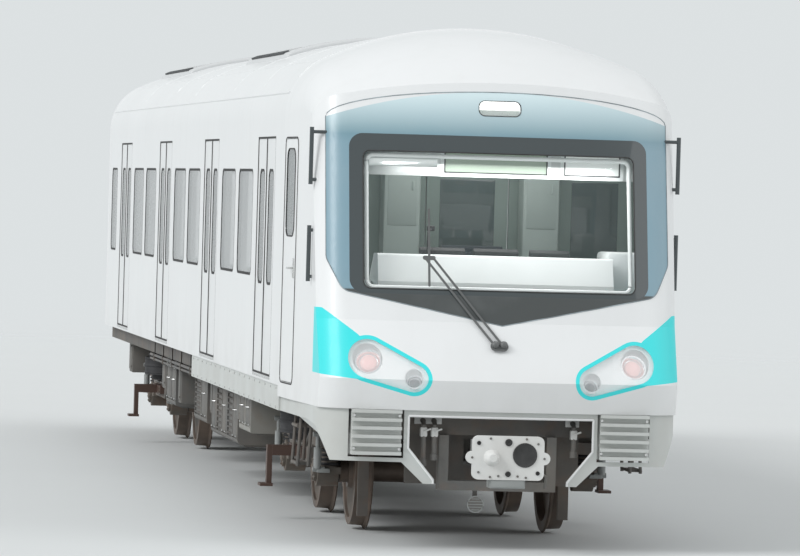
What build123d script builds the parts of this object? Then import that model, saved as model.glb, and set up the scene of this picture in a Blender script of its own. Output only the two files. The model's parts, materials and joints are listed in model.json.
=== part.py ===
from build123d import *
import os
from math import atan2, cos, degrees, sin, sqrt

os.makedirs("parts", exist_ok=True)

# Leading cab car of a metro train, full size, in millimetres.
# X is across the car, Y runs from the nose (negative) to the rear end, Z is up.
# Z = 0 is where the wheel flanges stand, and the origin is mid-way along the car's whole length.

# Overall sizes, heights above rail top
body_length = 19300
body_width = 2800
roof_height = 3800
floor_height = 1100
sill_height = 1060
coupler_reach = 350
gangway_reach = 250
cab_length = 2300
wall = 80
seat_gap = 0.3
pin_gap = 0.4
move_gap = 6

# Wheels and axles
flange_height = 28
wheel_radius = 420
wheel_width = 135
wheel_spacing = 1353
rim_depth = 60
web_thickness = 26
hub_radius = 130
axle_radius = 85
journal_radius = 60
journal_length = 150

# Bogies
front_pivot = 3600
rear_pivot = 16200
wheelbase = 2200
frame_centre = 985
frame_width = 170
frame_top = 740
frame_depth = 150
frame_drop = 170
transom_spread = 260
transom_width = 190
centre_pin_radius = 90
air_spring_radius = 245

# Roof and shoulder arcs of the body's section
roof_radius = 2600
shoulder_radius = 500

half_width = body_width / 2
rail_top = flange_height
nose_y = (coupler_reach - body_length - gangway_reach) / 2
rear_y = nose_y + body_length


def station(distance):
    """Y of a point that lies this far behind the nose tip."""
    return nose_y + distance


def level(height):
    """Z of a point that lies this high above rail top."""
    return rail_top + height


def cross_plane(y):
    """Plane across the car: its x is X, its y is Z, and a negative extrusion runs rearwards."""
    return Plane.XZ.offset(-y)


def plan_plane(z):
    """Level plane whose y points forwards, so that the nose is the crown of an arch."""
    return Plane(origin=(0, 0, z), x_dir=(1, 0, 0), z_dir=(0, 0, -1))


def finish(piece, name):
    piece.part.label = name
    export_step(piece.part, f"parts/{name}.step")


def shoulder_start(half, crown, top_radius, corner_radius):
    """Height at which the upright side meets its shoulder arc."""
    return crown - top_radius + sqrt((top_radius - corner_radius) ** 2 - (half - corner_radius) ** 2)


def arch(half, crown, top_radius, corner_radius, bottom, inset=0, flare=0):
    """Closed outline of two sides, two shoulder arcs and a top arc, all tangent to each other."""
    start = shoulder_start(half, crown, top_radius, corner_radius)
    corner_x = half - corner_radius
    lean = atan2(start - crown + top_radius, corner_x)
    arc = corner_radius - inset
    top = (corner_x + arc * cos(lean), start + arc * sin(lean))
    middle = (corner_x + arc * cos(lean / 2), start + arc * sin(lean / 2))
    side = half - inset
    foot = side + flare
    with BuildSketch() as outline:
        with BuildLine():
            Line((-foot, bottom), (-side, start))
            ThreePointArc((-side, start), (-middle[0], middle[1]), (-top[0], top[1]))
            ThreePointArc((-top[0], top[1]), (0, crown - inset), top)
            ThreePointArc(top, middle, (side, start))
            Line((side, start), (foot, bottom))
            Line((foot, bottom), (-foot, bottom))
        make_face()
    return outline.sketch


def polygon(points, radius=0, rounded=None):
    """Closed outline through a few points, with its corners (or the listed ones) rounded."""
    with BuildSketch() as outline:
        with BuildLine():
            Polyline(*points, close=True)
        make_face()
        if radius:
            corners = outline.vertices()
            if rounded is not None:
                wanted = [Vector(*points[i]) for i in rounded]
                corners = [v for v in corners if min((Vector(*v) - w).length for w in wanted) < 0.01]
            fillet(corners, radius)
    return outline.sketch


def mirrored(points):
    """The points and their mirror images, as one loop from right to left."""
    return list(points) + [(-x, z) for x, z in reversed(points) if x]


cornice = 60
cantrail = shoulder_start(half_width, level(roof_height), roof_radius, shoulder_radius) - cornice


def body_arch(inset, bottom):
    return arch(half_width, level(roof_height), roof_radius, shoulder_radius, bottom, inset)


# Side openings: doors and windows, distances behind the nose tip
door_width = 1300
door_height = 1850
first_door = 3550
door_pitch = 4500
door_count = 4
leaf_thickness = 55
leaf_recess = 5
window_bottom = 1850
window_height = 850
window_width = 1150
window_post = 250
end_window_width = 700
window_corner = 90
glass_thickness = 12
leaf_window_width = 380
leaf_window_height = 900
leaf_window_drop = 50

door_centres = [first_door + door_pitch * i for i in range(door_count)]
window_centres = [
    (door_centres[i] + door_centres[i + 1]) / 2 + side * (window_width + window_post) / 2
    for i in range(door_count - 1)
    for side in (-1, 1)
]
last_bay = (door_centres[-1] + door_width / 2 + body_length) / 2
side_windows = [(centre, window_width) for centre in window_centres] + [(last_bay, end_window_width)]

# Side walls, right then left
door_bottom = level(floor_height)
door_middle = door_bottom + door_height / 2
window_middle = level(window_bottom + window_height / 2)
side_plane = Plane.YZ.offset(half_width)

with BuildPart() as side_wall_right:
    with BuildSketch(side_plane):
        with Locations(((station(cab_length) + rear_y) / 2, (level(sill_height) + cantrail) / 2)):
            Rectangle(rear_y - station(cab_length), cantrail - level(sill_height))
        with Locations([(station(centre), door_middle) for centre in door_centres]):
            Rectangle(door_width, door_height, mode=Mode.SUBTRACT)
        for centre, width in side_windows:
            with Locations((station(centre), window_middle)):
                RectangleRounded(width, window_height, window_corner, mode=Mode.SUBTRACT)
    extrude(amount=-wall)

with BuildPart() as side_wall_left:
    mirror(side_wall_right.part, about=Plane.YZ)

finish(side_wall_right, "side_wall_right")
finish(side_wall_left, "side_wall_left")

# Door leaves, two to a doorway, a little way in from the outside
leaf_width = door_width / 2 - 1.5 * seat_gap
leaf_height = door_height - 2 * seat_gap
leaf_offset = (leaf_width + seat_gap) / 2
leaf_window_middle = level(window_bottom - leaf_window_drop) + leaf_window_height / 2
leaf_places = [station(centre) + side * leaf_offset for centre in door_centres for side in (-1, 1)]

leaf_plane = side_plane.offset(-leaf_recess)

with BuildPart() as doors_right:
    with BuildSketch(leaf_plane):
        with Locations([(y, door_middle) for y in leaf_places]):
            Rectangle(leaf_width, leaf_height)
        with Locations([(y, leaf_window_middle) for y in leaf_places]):
            RectangleRounded(leaf_window_width, leaf_window_height, window_corner, mode=Mode.SUBTRACT)
    extrude(amount=-leaf_thickness)

with BuildPart() as doors_left:
    mirror(doors_right.part, about=Plane.YZ)

finish(doors_right, "doors_right")
finish(doors_left, "doors_left")

# Glass of the side windows and of the door leaves, both sides
with BuildPart() as side_glazing:
    with BuildSketch(side_plane.offset(-glass_thickness / 4)):
        for centre, width in side_windows:
            with Locations((station(centre), window_middle)):
                RectangleRounded(width - 2 * seat_gap, window_height - 2 * seat_gap, window_corner)
    extrude(amount=-glass_thickness)
    with BuildSketch(leaf_plane.offset(-glass_thickness / 4)):
        with Locations([(y, leaf_window_middle) for y in leaf_places]):
            RectangleRounded(
                leaf_window_width - 2 * seat_gap, leaf_window_height - 2 * seat_gap, window_corner
            )
    extrude(amount=-glass_thickness)
    mirror(about=Plane.YZ)

finish(side_glazing, "side_glazing")

# Roof with two wells for the air-conditioning units
hvac_half_width = 900
hvac_length = 3300
hvac_top = 3840
hvac_well = 3480
hvac_stations = (8700, 17500)

with BuildPart() as roof:
    with BuildSketch(cross_plane(station(cab_length))):
        add(body_arch(0, cantrail))
        add(body_arch(wall, cantrail), mode=Mode.SUBTRACT)
    extrude(amount=-(rear_y - station(cab_length)))
    with BuildSketch(Plane.XY.offset(level(hvac_well))):
        with Locations([(0, station(centre)) for centre in hvac_stations]):
            Rectangle(2 * (hvac_half_width + seat_gap), hvac_length + 2 * seat_gap)
    extrude(amount=level(roof_height), mode=Mode.SUBTRACT)

finish(roof, "roof")

# Air-conditioning units: cases that carry on the roof's curve, with slots along both shoulders and
# two fan throats in the middle
hvac_corner = 80
hvac_end_radius = 25
slot_count = 20
slot_pitch = 95
slot_width = 45
slot_x = 690
slot_length = 250
slot_floor = 3690
fan_radius = 270
fan_spread = 900
fan_depth = 55

slot_span = (slot_count - 1) * slot_pitch / 2
with BuildPart() as hvac_units:
    for centre in hvac_stations:
        with BuildSketch(cross_plane(station(centre - hvac_length / 2))):
            add(
                arch(
                    hvac_half_width,
                    level(hvac_top),
                    roof_radius,
                    hvac_corner,
                    level(hvac_well) + seat_gap,
                )
            )
        extrude(amount=-hvac_length)
    end_arcs = hvac_units.faces().filter_by(Axis.Y).edges().filter_by(GeomType.CIRCLE)
    fillet(end_arcs, hvac_end_radius)
    with BuildSketch(Plane.XY.offset(level(slot_floor))):
        for centre in hvac_stations:
            for i in range(slot_count):
                along = station(centre) - slot_span + i * slot_pitch
                with Locations((-slot_x, along), (slot_x, along)):
                    Rectangle(slot_length, slot_width)
    extrude(amount=hvac_top - slot_floor, mode=Mode.SUBTRACT)
    with BuildSketch(Plane.XY.offset(level(hvac_top))):
        for centre in hvac_stations:
            with Locations((0, station(centre) - fan_spread / 2), (0, station(centre) + fan_spread / 2)):
                Circle(fan_radius)
    extrude(amount=-fan_depth, mode=Mode.SUBTRACT)

finish(hvac_units, "hvac_units")

# End wall with the gangway doorway
gangway_width = 1300
gangway_height = 1950
gangway_corner = 120

doorway_z = level(floor_height) + gangway_height / 2
with BuildPart() as end_wall:
    with BuildSketch(cross_plane(rear_y - wall)):
        add(body_arch(wall, level(floor_height)))
        with Locations((0, doorway_z)):
            RectangleRounded(gangway_width, gangway_height, gangway_corner, mode=Mode.SUBTRACT)
        with Locations((0, level(floor_height) + gangway_corner)):
            Rectangle(gangway_width, 2 * gangway_corner, mode=Mode.SUBTRACT)
    extrude(amount=-wall)

finish(end_wall, "end_wall")

# Gangway bellows: a folded ring that fits on the end wall's doorway
bellows_width = 1700
bellows_height = 2180
bellows_wall = 110
fold_count = 5
fold_height = 45
bellows_sink = 60

bellows_z = level(floor_height) - bellows_sink + bellows_height / 2
fold_pitch = gangway_reach / fold_count
with BuildPart() as gangway_bellows:
    with BuildSketch(cross_plane(rear_y)):
        with Locations((0, bellows_z)):
            RectangleRounded(bellows_width, bellows_height, gangway_corner + bellows_wall)
    extrude(amount=-gangway_reach)
    for i in range(fold_count):
        with BuildSketch(cross_plane(rear_y + (i + 0.25) * fold_pitch)):
            with Locations((0, bellows_z)):
                RectangleRounded(
                    bellows_width + 2 * fold_height,
                    bellows_height + 2 * fold_height,
                    gangway_corner + bellows_wall + fold_height,
                )
        extrude(amount=-fold_pitch / 2)
    with BuildSketch(cross_plane(rear_y)):
        with Locations((0, bellows_z)):
            RectangleRounded(
                bellows_width - 2 * bellows_wall, bellows_height - 2 * bellows_wall, gangway_corner
            )
    extrude(amount=-gangway_reach, mode=Mode.SUBTRACT)

finish(gangway_bellows, "gangway_bellows")

# Cab hood. Its front face is lofted upwards through plans, its crown rearwards through sections.
# Face plans: height above rail, setback behind the nose tip
face_plans = (
    (980, 60),
    (1200, 0),
    (1620, 218),
    (3950, 847),
)
# Crown sections: distance behind the nose tip, half width, crown height, top radius, shoulder radius
crown_sections = (
    (-100, 1300, 2900, 4500, 180),
    (500, 1322, 3240, 4200, 220),
    (1000, 1345, 3545, 3600, 300),
    (1600, 1375, 3735, 3000, 400),
    (cab_length, half_width, roof_height, roof_radius, shoulder_radius),
)
face_half_width = 1345
face_radius = 4900
face_corner_radius = 300
face_flare = 110
hood_bottom = face_plans[0][0]


def hood_envelope(inset):
    """The cab's outer form, or the same form set in by the thickness of a skin."""
    with BuildPart() as crown:
        for distance, half, height, top_radius, corner_radius in crown_sections:
            with BuildSketch(cross_plane(station(distance))):
                add(arch(half, level(height), top_radius, corner_radius, level(hood_bottom), inset))
        loft()
    with BuildPart() as envelope:
        for height, setback in face_plans:
            with BuildSketch(plan_plane(level(height))):
                add(
                    arch(
                        face_half_width,
                        -station(setback),
                        face_radius,
                        face_corner_radius,
                        -station(cab_length),
                        inset,
                        face_flare,
                    )
                )
        loft(ruled=True)
        add(crown.part, mode=Mode.INTERSECT)
    return envelope.part


def front_prism(outline, start, depth):
    """An outline seen from the front, pushed through the nose."""
    with BuildPart() as prism:
        with BuildSketch(cross_plane(station(start))):
            add(outline)
        extrude(amount=-depth)
    return prism.part


def side_prism(outline, start, depth):
    """An outline seen from the side (x rearwards, y up), pushed across the car."""
    with BuildPart() as prism:
        with BuildSketch(Plane.YZ.offset(start)):
            add(outline)
        extrude(amount=depth)
    return prism.part


hood_outer = hood_envelope(0)
hood_skin = 50
lamp_skin = 28
glass_skin = 20
hood_inner = hood_envelope(hood_skin)
lamp_inner = hood_envelope(lamp_skin)
glass_inner = hood_envelope(glass_skin)
prism_start = -200
front_depth = 1500
prism_margin = 100

# Front mask: a shield with a shallow V below, the windscreen's dark border and the clear glass
mask_corners = mirrored([(0, level(1600)), (1150, level(1830)), (1262, level(2060)), (1262, level(3090))])
mask_top = 3300
mask_top_sides = 3090
mask_corner = 110
border_half = 1100
border_low = 1815
border_high = 2975
screen_half = 1000
screen_low = 1850
screen_high = 2850
screen_corner = 50
marker_width = 310
marker_height = 110
marker_corner = 44
marker_level = 3180

with BuildSketch() as mask_outline:
    add(polygon(mask_corners, mask_corner, [1, 2, len(mask_corners) - 1, len(mask_corners) - 2]))
    with BuildLine():
        ThreePointArc(
            (-mask_corners[3][0], level(mask_top_sides)),
            (0, level(mask_top)),
            (mask_corners[3][0], level(mask_top_sides)),
        )
        Line(
            (mask_corners[3][0], level(mask_top_sides)),
            (-mask_corners[3][0], level(mask_top_sides)),
        )
    make_face()

with BuildSketch() as border_outline:
    with Locations((0, level((border_low + border_high) / 2))):
        RectangleRounded(2 * border_half, border_high - border_low, 2 * screen_corner)

with BuildSketch() as screen_outline:
    with Locations((0, level((screen_low + screen_high) / 2))):
        RectangleRounded(2 * screen_half, screen_high - screen_low, screen_corner)

with BuildSketch() as marker_outline:
    with Locations((0, level(marker_level))):
        RectangleRounded(marker_width, marker_height, marker_corner)

# Headlamps: a slanted pill each side in a coloured surround that wraps round the corner
lamp_outer = (980, 1343, 140)
lamp_inner_end = (650, 1210, 100)
lamp_ring = 28
patch_points = [(1010, 1190), (1420, 1235), (1420, 1700), (1290, 1700), (1050, 1520), (930, 1400)]
patch_reach = 640


def pill(grow):
    """Hull of the two lamp circles, mirrored to both sides."""
    x1, z1, r1 = lamp_outer
    x2, z2, r2 = lamp_inner_end
    with BuildSketch() as outline:
        with Locations((x1, level(z1))):
            Circle(r1 + grow)
        with Locations((x2, level(z2))):
            Circle(r2 + grow)
        make_hull()
        mirror(about=Plane.YZ)
    return outline.sketch


with BuildSketch() as surround_outline:
    add(pill(lamp_ring))
    add(polygon([(x, level(z)) for x, z in patch_points], 25, [3, 4]))
    mirror(about=Plane.YZ)

mask_prism = front_prism(mask_outline.sketch, prism_start, front_depth)
border_prism = front_prism(border_outline.sketch, prism_start, front_depth)
screen_prism = front_prism(screen_outline.sketch, prism_start, front_depth)
marker_prism = front_prism(marker_outline.sketch, prism_start, front_depth)
pill_prism = front_prism(pill(0), prism_start, patch_reach - prism_start)
surround_prism = front_prism(surround_outline.sketch, prism_start, patch_reach - prism_start)

# Cab side door, hinged at its rear edge and opening inwards
cab_door_front = 1560
cab_door_width = 620
cab_door_height = 1830
cab_door_corner = 60
cab_window_width = 400
cab_window_height = 650
cab_window_top = 2850
cab_door_skin = 45
cab_door_gap = 9
hinge_barrel = 22
hinge_pin = 8
cab_hinge_x = 1330

cab_door_middle = (station(cab_door_front + cab_door_width / 2), level(floor_height) + cab_door_height / 2)
cab_window_middle = (cab_door_middle[0], level(cab_window_top - cab_window_height / 2))

with BuildSketch() as cab_doorway:
    with Locations(cab_door_middle):
        RectangleRounded(cab_door_width, cab_door_height, cab_door_corner)

with BuildSketch() as cab_leaf:
    with Locations(cab_door_middle):
        RectangleRounded(
            cab_door_width - 2 * cab_door_gap,
            cab_door_height - 2 * move_gap,
            cab_door_corner - move_gap,
        )

with BuildSketch() as cab_pane:
    with Locations(cab_window_middle):
        RectangleRounded(cab_window_width, cab_window_height, window_corner)

with BuildSketch() as cab_glass:
    with Locations(cab_window_middle):
        RectangleRounded(cab_window_width - 2 * seat_gap, cab_window_height - 2 * seat_gap, window_corner)

cab_door_envelope = hood_envelope(cab_door_skin)
doorway_prism = side_prism(
    cab_doorway.sketch, -half_width - prism_margin, body_width + 2 * prism_margin
)

leaf_rear = station(cab_door_front + cab_door_width - cab_door_gap)
cab_hinge_y = leaf_rear - hinge_barrel
leaf_low = level(floor_height) + move_gap
leaf_high = level(floor_height) + cab_door_height - move_gap
bracket_thickness = 14
bracket_reach = 30
bracket_bite = 10
pin_engagement = 20


def hinge_bracket(x, y, z, reach_x, reach_y):
    """Plate round a hinge pin that reaches to what carries it."""
    with BuildPart() as bracket:
        with BuildSketch(Plane.XY.offset(z)):
            with Locations((x, y)):
                Circle(hinge_barrel)
            with Locations((x + reach_x / 2, y + reach_y / 2)):
                Rectangle(abs(reach_x) or 2 * hinge_barrel, abs(reach_y) or 2 * hinge_barrel)
            with Locations((x, y)):
                Circle(hinge_pin + pin_gap, mode=Mode.SUBTRACT)
        extrude(amount=bracket_thickness)
    return bracket.part


def hinge_barrel_and_pin(x, y, low, high, margin):
    """Barrel of a door leaf with its pin, which reaches into the floor and the upper bracket."""
    with BuildPart() as barrel:
        with BuildSketch(Plane.XY.offset(low + margin)):
            with Locations((x, y)):
                Circle(hinge_barrel)
        extrude(amount=high - low - 2 * margin)
        with BuildSketch(Plane.XY.offset(low - move_gap - pin_engagement)):
            with Locations((x, y)):
                Circle(hinge_pin)
        extrude(amount=high - low + 2 * (move_gap + pin_engagement))
    return barrel.part


cab_bracket = hinge_bracket(cab_hinge_x, cab_hinge_y, leaf_high + move_gap, bracket_reach, 0)
cab_barrel = hinge_barrel_and_pin(cab_hinge_x, cab_hinge_y, leaf_low, leaf_high, cab_door_corner)
leaf_prism = side_prism(cab_leaf.sketch, 0, half_width + prism_margin)
pane_prism = side_prism(cab_pane.sketch, 0, half_width + prism_margin)
cab_glass_prism = side_prism(cab_glass.sketch, 0, half_width + prism_margin)

with BuildPart() as cab_shell:
    add(hood_outer)
    add(hood_inner, mode=Mode.SUBTRACT)
    add(mask_prism, mode=Mode.SUBTRACT)
    add(surround_prism, mode=Mode.SUBTRACT)
    add(doorway_prism, mode=Mode.SUBTRACT)
    add(cab_bracket)
    add(mirror(cab_bracket, about=Plane.YZ, mode=Mode.PRIVATE))

finish(cab_shell, "cab_shell")

with BuildPart() as cab_door_right:
    add(hood_outer)
    add(cab_door_envelope, mode=Mode.SUBTRACT)
    add(leaf_prism, mode=Mode.INTERSECT)
    add(pane_prism, mode=Mode.SUBTRACT)
    add(cab_barrel)

with BuildPart() as cab_door_left:
    mirror(cab_door_right.part, about=Plane.YZ)

finish(cab_door_right, "cab_door_right")
finish(cab_door_left, "cab_door_left")

with BuildPart() as cab_door_glass_right:
    add(hood_outer)
    add(glass_inner, mode=Mode.SUBTRACT)
    add(cab_glass_prism, mode=Mode.INTERSECT)

with BuildPart() as cab_door_glass_left:
    mirror(cab_door_glass_right.part, about=Plane.YZ)

finish(cab_door_glass_right, "cab_door_glass_right")
finish(cab_door_glass_left, "cab_door_glass_left")

# Grab rails on the corner posts, each on two stand-offs that end on the hood
grip_station = 800
grip_x = 1362
grip_radius = 16
grip_foot_radius = 13
grip_foot_inset = 35
grip_spans = ((1880, 2290), (2590, 3010))

with BuildPart() as corner_grips:
    for low, high in grip_spans:
        with BuildSketch(Plane.XY.offset(level(low))):
            with Locations((grip_x, station(grip_station))):
                Circle(grip_radius)
        extrude(amount=high - low)
        with BuildSketch(Plane.YZ.offset(grip_x)):
            feet = (low + grip_foot_inset, high - grip_foot_inset)
            with Locations([(station(grip_station), level(foot)) for foot in feet]):
                Circle(grip_foot_radius)
        extrude(amount=screen_half - grip_x)
    mirror(about=Plane.YZ)
    add(hood_envelope(-seat_gap), mode=Mode.SUBTRACT)

finish(corner_grips, "corner_grips")

with BuildPart() as front_mask:
    add(hood_outer)
    add(hood_inner, mode=Mode.SUBTRACT)
    add(mask_prism, mode=Mode.INTERSECT)
    add(border_prism, mode=Mode.SUBTRACT)
    add(marker_prism, mode=Mode.SUBTRACT)

finish(front_mask, "front_mask")

with BuildPart() as windscreen_border:
    add(hood_outer)
    add(lamp_inner, mode=Mode.SUBTRACT)
    add(border_prism, mode=Mode.INTERSECT)
    add(screen_prism, mode=Mode.SUBTRACT)

finish(windscreen_border, "windscreen_border")

with BuildPart() as windscreen:
    add(hood_outer)
    add(glass_inner, mode=Mode.SUBTRACT)
    add(screen_prism, mode=Mode.INTERSECT)

finish(windscreen, "windscreen")

with BuildPart() as marker_lamp:
    add(hood_outer)
    add(lamp_inner, mode=Mode.SUBTRACT)
    add(marker_prism, mode=Mode.INTERSECT)

finish(marker_lamp, "marker_lamp")

with BuildPart() as headlamp_surrounds:
    add(hood_outer)
    add(hood_inner, mode=Mode.SUBTRACT)
    add(surround_prism, mode=Mode.INTERSECT)
    add(pill_prism, mode=Mode.SUBTRACT)

finish(headlamp_surrounds, "headlamp_surrounds")

with BuildPart() as headlamp_lenses:
    add(hood_outer)
    add(lamp_inner, mode=Mode.SUBTRACT)
    add(pill_prism, mode=Mode.INTERSECT)

finish(headlamp_lenses, "headlamp_lenses")

# Bowls behind the lenses, each with a large and a small round recess for the lamps
bowl_back = 125
bowl_floor = 95
main_lamp_radius = 108
side_lamp_radius = 66
with BuildSketch() as lamp_recesses:
    for (x, z, _), radius in ((lamp_outer, main_lamp_radius), (lamp_inner_end, side_lamp_radius)):
        with Locations((x, level(z)), (-x, level(z))):
            Circle(radius)

with BuildPart() as lamp_wells:
    add(hood_outer)
    add(hood_envelope(bowl_floor), mode=Mode.SUBTRACT)
    add(front_prism(lamp_recesses.sketch, prism_start, patch_reach - prism_start), mode=Mode.INTERSECT)

with BuildPart() as headlamp_bowls:
    add(hood_envelope(lamp_skin + seat_gap))
    add(hood_envelope(bowl_back), mode=Mode.SUBTRACT)
    add(front_prism(pill(-seat_gap), prism_start, patch_reach - prism_start), mode=Mode.INTERSECT)
    add(lamp_wells.part, mode=Mode.SUBTRACT)

finish(headlamp_bowls, "headlamp_bowls")

# Wiper: two parallel arms on one spindle and an upright blade that lies on the glass
wiper_pivot = (0, 1455)
wiper_knee = (-500, 2080)
wiper_arm_gap = 60
wiper_arm_width = 16
wiper_blade_low = 1880
wiper_blade_high = 2430
wiper_lift = 22
wiper_clear = 10
spindle_radius = 34


def bar_outline(start, end, width):
    """A straight bar with round ends, seen from the front; heights are above rail."""
    run = Vector(end[0] - start[0], end[1] - start[1])
    middle = ((start[0] + end[0]) / 2, level((start[1] + end[1]) / 2))
    with BuildSketch() as outline:
        with Locations((start[0], level(start[1])), (end[0], level(end[1]))):
            Circle(width / 2)
        with Locations(middle):
            Rectangle(run.length, width, rotation=degrees(atan2(run.Y, run.X)))
    return outline.sketch


blade_x = wiper_knee[0] - wiper_arm_gap / 2
with BuildSketch() as wiper_arms:
    for shift in (0, 1):
        start = (wiper_pivot[0] - shift * wiper_arm_gap, wiper_pivot[1])
        end = (wiper_knee[0] - shift * wiper_arm_gap, wiper_knee[1])
        add(bar_outline(start, end, wiper_arm_width))
    add(bar_outline(wiper_knee, (wiper_knee[0] - wiper_arm_gap, wiper_knee[1]), 2 * wiper_arm_width))
    add(bar_outline((blade_x, wiper_blade_low), (blade_x, wiper_blade_high), wiper_arm_width))

with BuildSketch() as wiper_seats:
    add(bar_outline(wiper_pivot, (wiper_pivot[0] - wiper_arm_gap, wiper_pivot[1]), 2 * spindle_radius))
    add(bar_outline((blade_x, wiper_blade_low), (blade_x, wiper_blade_high), wiper_arm_width / 2))

wiper_top = hood_envelope(-wiper_lift)
with BuildPart() as wiper_feet:
    add(wiper_top)
    add(hood_outer, mode=Mode.SUBTRACT)
    add(front_prism(wiper_seats.sketch, prism_start, front_depth), mode=Mode.INTERSECT)

with BuildPart() as wiper:
    add(wiper_top)
    add(hood_envelope(-wiper_clear), mode=Mode.SUBTRACT)
    add(front_prism(wiper_arms.sketch, prism_start, front_depth), mode=Mode.INTERSECT)
    add(wiper_feet.part)

finish(wiper, "wiper")

# Underframe: floor, sole bars, cross-members and the two spines behind the end beam
floor_thickness = 60
sole_width = 110
sole_bottom = 930
member_bottom = 940
member_width = 110
member_pitch = 1400
bolster_length = 560
bolster_half = 1150
bolster_bottom = 870
pin_bottom = 400
beam_start = 330
beam_depth = 260
beam_bottom = 800
beam_half = 1180
spine_x = 450
coupler_level = 667
coupler_pivot = 1000
drawbar_pivot = 18650
eye_radius = 95
eye_half = 80
yoke_gap = 8
yoke_plate = 30
yoke_half = 150
pivot_pin_radius = 45

floor_under = floor_height - floor_thickness
member_count = int((body_length - cab_length) // member_pitch) + 1
saloon_middle = (station(cab_length) + rear_y) / 2
saloon_length = rear_y - station(cab_length)
sole_x = half_width - wall - sole_width / 2
pivots = (station(front_pivot), station(rear_pivot))
carried_top = level(floor_under) - seat_gap
spine_start = beam_start + beam_depth + seat_gap
spine_end = front_pivot - bolster_length / 2 - seat_gap
bolster_reach = (bolster_length + member_width) / 2
member_places = [rear_y - member_width / 2 - i * member_pitch for i in range(member_count)]
member_places = [y for y in member_places if min(abs(y - pivot) for pivot in pivots) > bolster_reach]

# Where a yoke carries a coupler's eye: distance of the pin, and the way its back wall faces
yokes = ((coupler_pivot, 1), (drawbar_pivot, -1))

# Cab partition: a bulkhead across the hood with a doorway and a door hinged on its rear face
partition_start = 2235
partition_thickness = 40
cab_way_width = 640
cab_way_height = 1900
partition_hinge_offset = 18

partition_rear = station(partition_start + partition_thickness)
way_leaf_half = cab_way_width / 2 - cab_door_gap
way_hinge_x = way_leaf_half - hinge_barrel
way_hinge_y = partition_rear + partition_hinge_offset
way_leaf_low = level(floor_height) + move_gap
way_leaf_high = level(floor_height) + cab_way_height - move_gap

with BuildPart() as cab_floor:
    with BuildSketch(Plane.XY.offset(level(floor_under))):
        with Locations((0, station(cab_length / 2))):
            Rectangle(body_width, cab_length)
    extrude(amount=floor_thickness)
    add(hood_inner, mode=Mode.INTERSECT)

with BuildPart() as underframe:
    with BuildSketch(Plane.XY.offset(level(floor_under))):
        with Locations((0, saloon_middle)):
            Rectangle(body_width - 2 * wall, saloon_length)
    extrude(amount=floor_thickness)
    add(cab_floor.part)
    with BuildSketch(Plane.XY.offset(level(floor_under))):
        hinges = [(-cab_hinge_x, cab_hinge_y), (cab_hinge_x, cab_hinge_y), (way_hinge_x, way_hinge_y)]
        with Locations(hinges):
            Circle(hinge_pin + pin_gap)
    extrude(amount=floor_thickness, mode=Mode.SUBTRACT)
    with BuildSketch(Plane.XY.offset(level(sole_bottom))):
        with Locations([(side * sole_x, saloon_middle) for side in (-1, 1)]):
            Rectangle(sole_width, saloon_length)
    extrude(amount=floor_under - sole_bottom)
    with BuildSketch(Plane.XY.offset(level(member_bottom))):
        with Locations([(0, y) for y in member_places]):
            Rectangle(2 * sole_x, member_width)
    extrude(amount=floor_under - member_bottom)
    with BuildSketch(Plane.XY.offset(level(sole_bottom))):
        spine_middle = station((spine_start + spine_end) / 2)
        with Locations([(side * spine_x, spine_middle) for side in (-1, 1)]):
            Rectangle(sole_width, spine_end - spine_start)
    extrude(amount=floor_under - sole_bottom)

finish(underframe, "underframe")

# Bolsters with the centre pins that the bogies turn on
with BuildPart() as bolsters:
    with BuildSketch(Plane.XY.offset(level(bolster_bottom))):
        with Locations([(0, pivot) for pivot in pivots]):
            Rectangle(2 * bolster_half, bolster_length)
    extrude(amount=carried_top - level(bolster_bottom))
    with BuildSketch(Plane.XY.offset(level(pin_bottom))):
        with Locations([(0, pivot) for pivot in pivots]):
            Circle(centre_pin_radius)
    extrude(amount=bolster_bottom - pin_bottom)

finish(bolsters, "bolsters")

# End beam with an apron below it, and the pockets that hold the eyes of the coupler and the drawbar
apron_half = 640
apron_bottom = 430
apron_thickness = 30
apron_slot = (420, 190)
with BuildPart() as coupler_pockets:
    with BuildSketch(Plane.XY.offset(level(beam_bottom))):
        with Locations((0, station(beam_start + beam_depth / 2))):
            Rectangle(2 * beam_half, beam_depth)
    extrude(amount=carried_top - level(beam_bottom))
    with BuildSketch(cross_plane(station(beam_start + beam_depth - apron_thickness))):
        with Locations((0, level((apron_bottom + beam_bottom) / 2))):
            Rectangle(2 * apron_half, beam_bottom - apron_bottom)
        with Locations((0, level(coupler_level))):
            Rectangle(*apron_slot, mode=Mode.SUBTRACT)
    extrude(amount=-apron_thickness)
    for distance, back in yokes:
        pin = station(distance)
        wall_y = pin + back * (eye_radius + yoke_gap + yoke_plate / 2)
        top = level(coupler_level + eye_half + yoke_gap)
        low = level(coupler_level - eye_half - yoke_gap) - yoke_plate
        with BuildSketch(Plane.XY.offset(low)):
            with Locations((0, (pin + wall_y) / 2)):
                Rectangle(2 * yoke_half, abs(wall_y - pin) + yoke_plate)
            with Locations((0, pin)):
                Circle(yoke_half)
        extrude(amount=yoke_plate)
        with BuildSketch(Plane.XY.offset(top)):
            with Locations((0, (pin + wall_y) / 2)):
                Rectangle(2 * yoke_half, abs(wall_y - pin) + yoke_plate)
            with Locations((0, pin)):
                Circle(yoke_half)
        extrude(amount=carried_top - top)
        with BuildSketch(Plane.XY.offset(low)):
            with Locations((0, wall_y)):
                Rectangle(2 * yoke_half, yoke_plate)
        extrude(amount=top - low)
        with BuildSketch(Plane.XY.offset(low)):
            with Locations((0, pin)):
                Circle(pivot_pin_radius)
        extrude(amount=top - low)

finish(coupler_pockets, "coupler_pockets")

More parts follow.
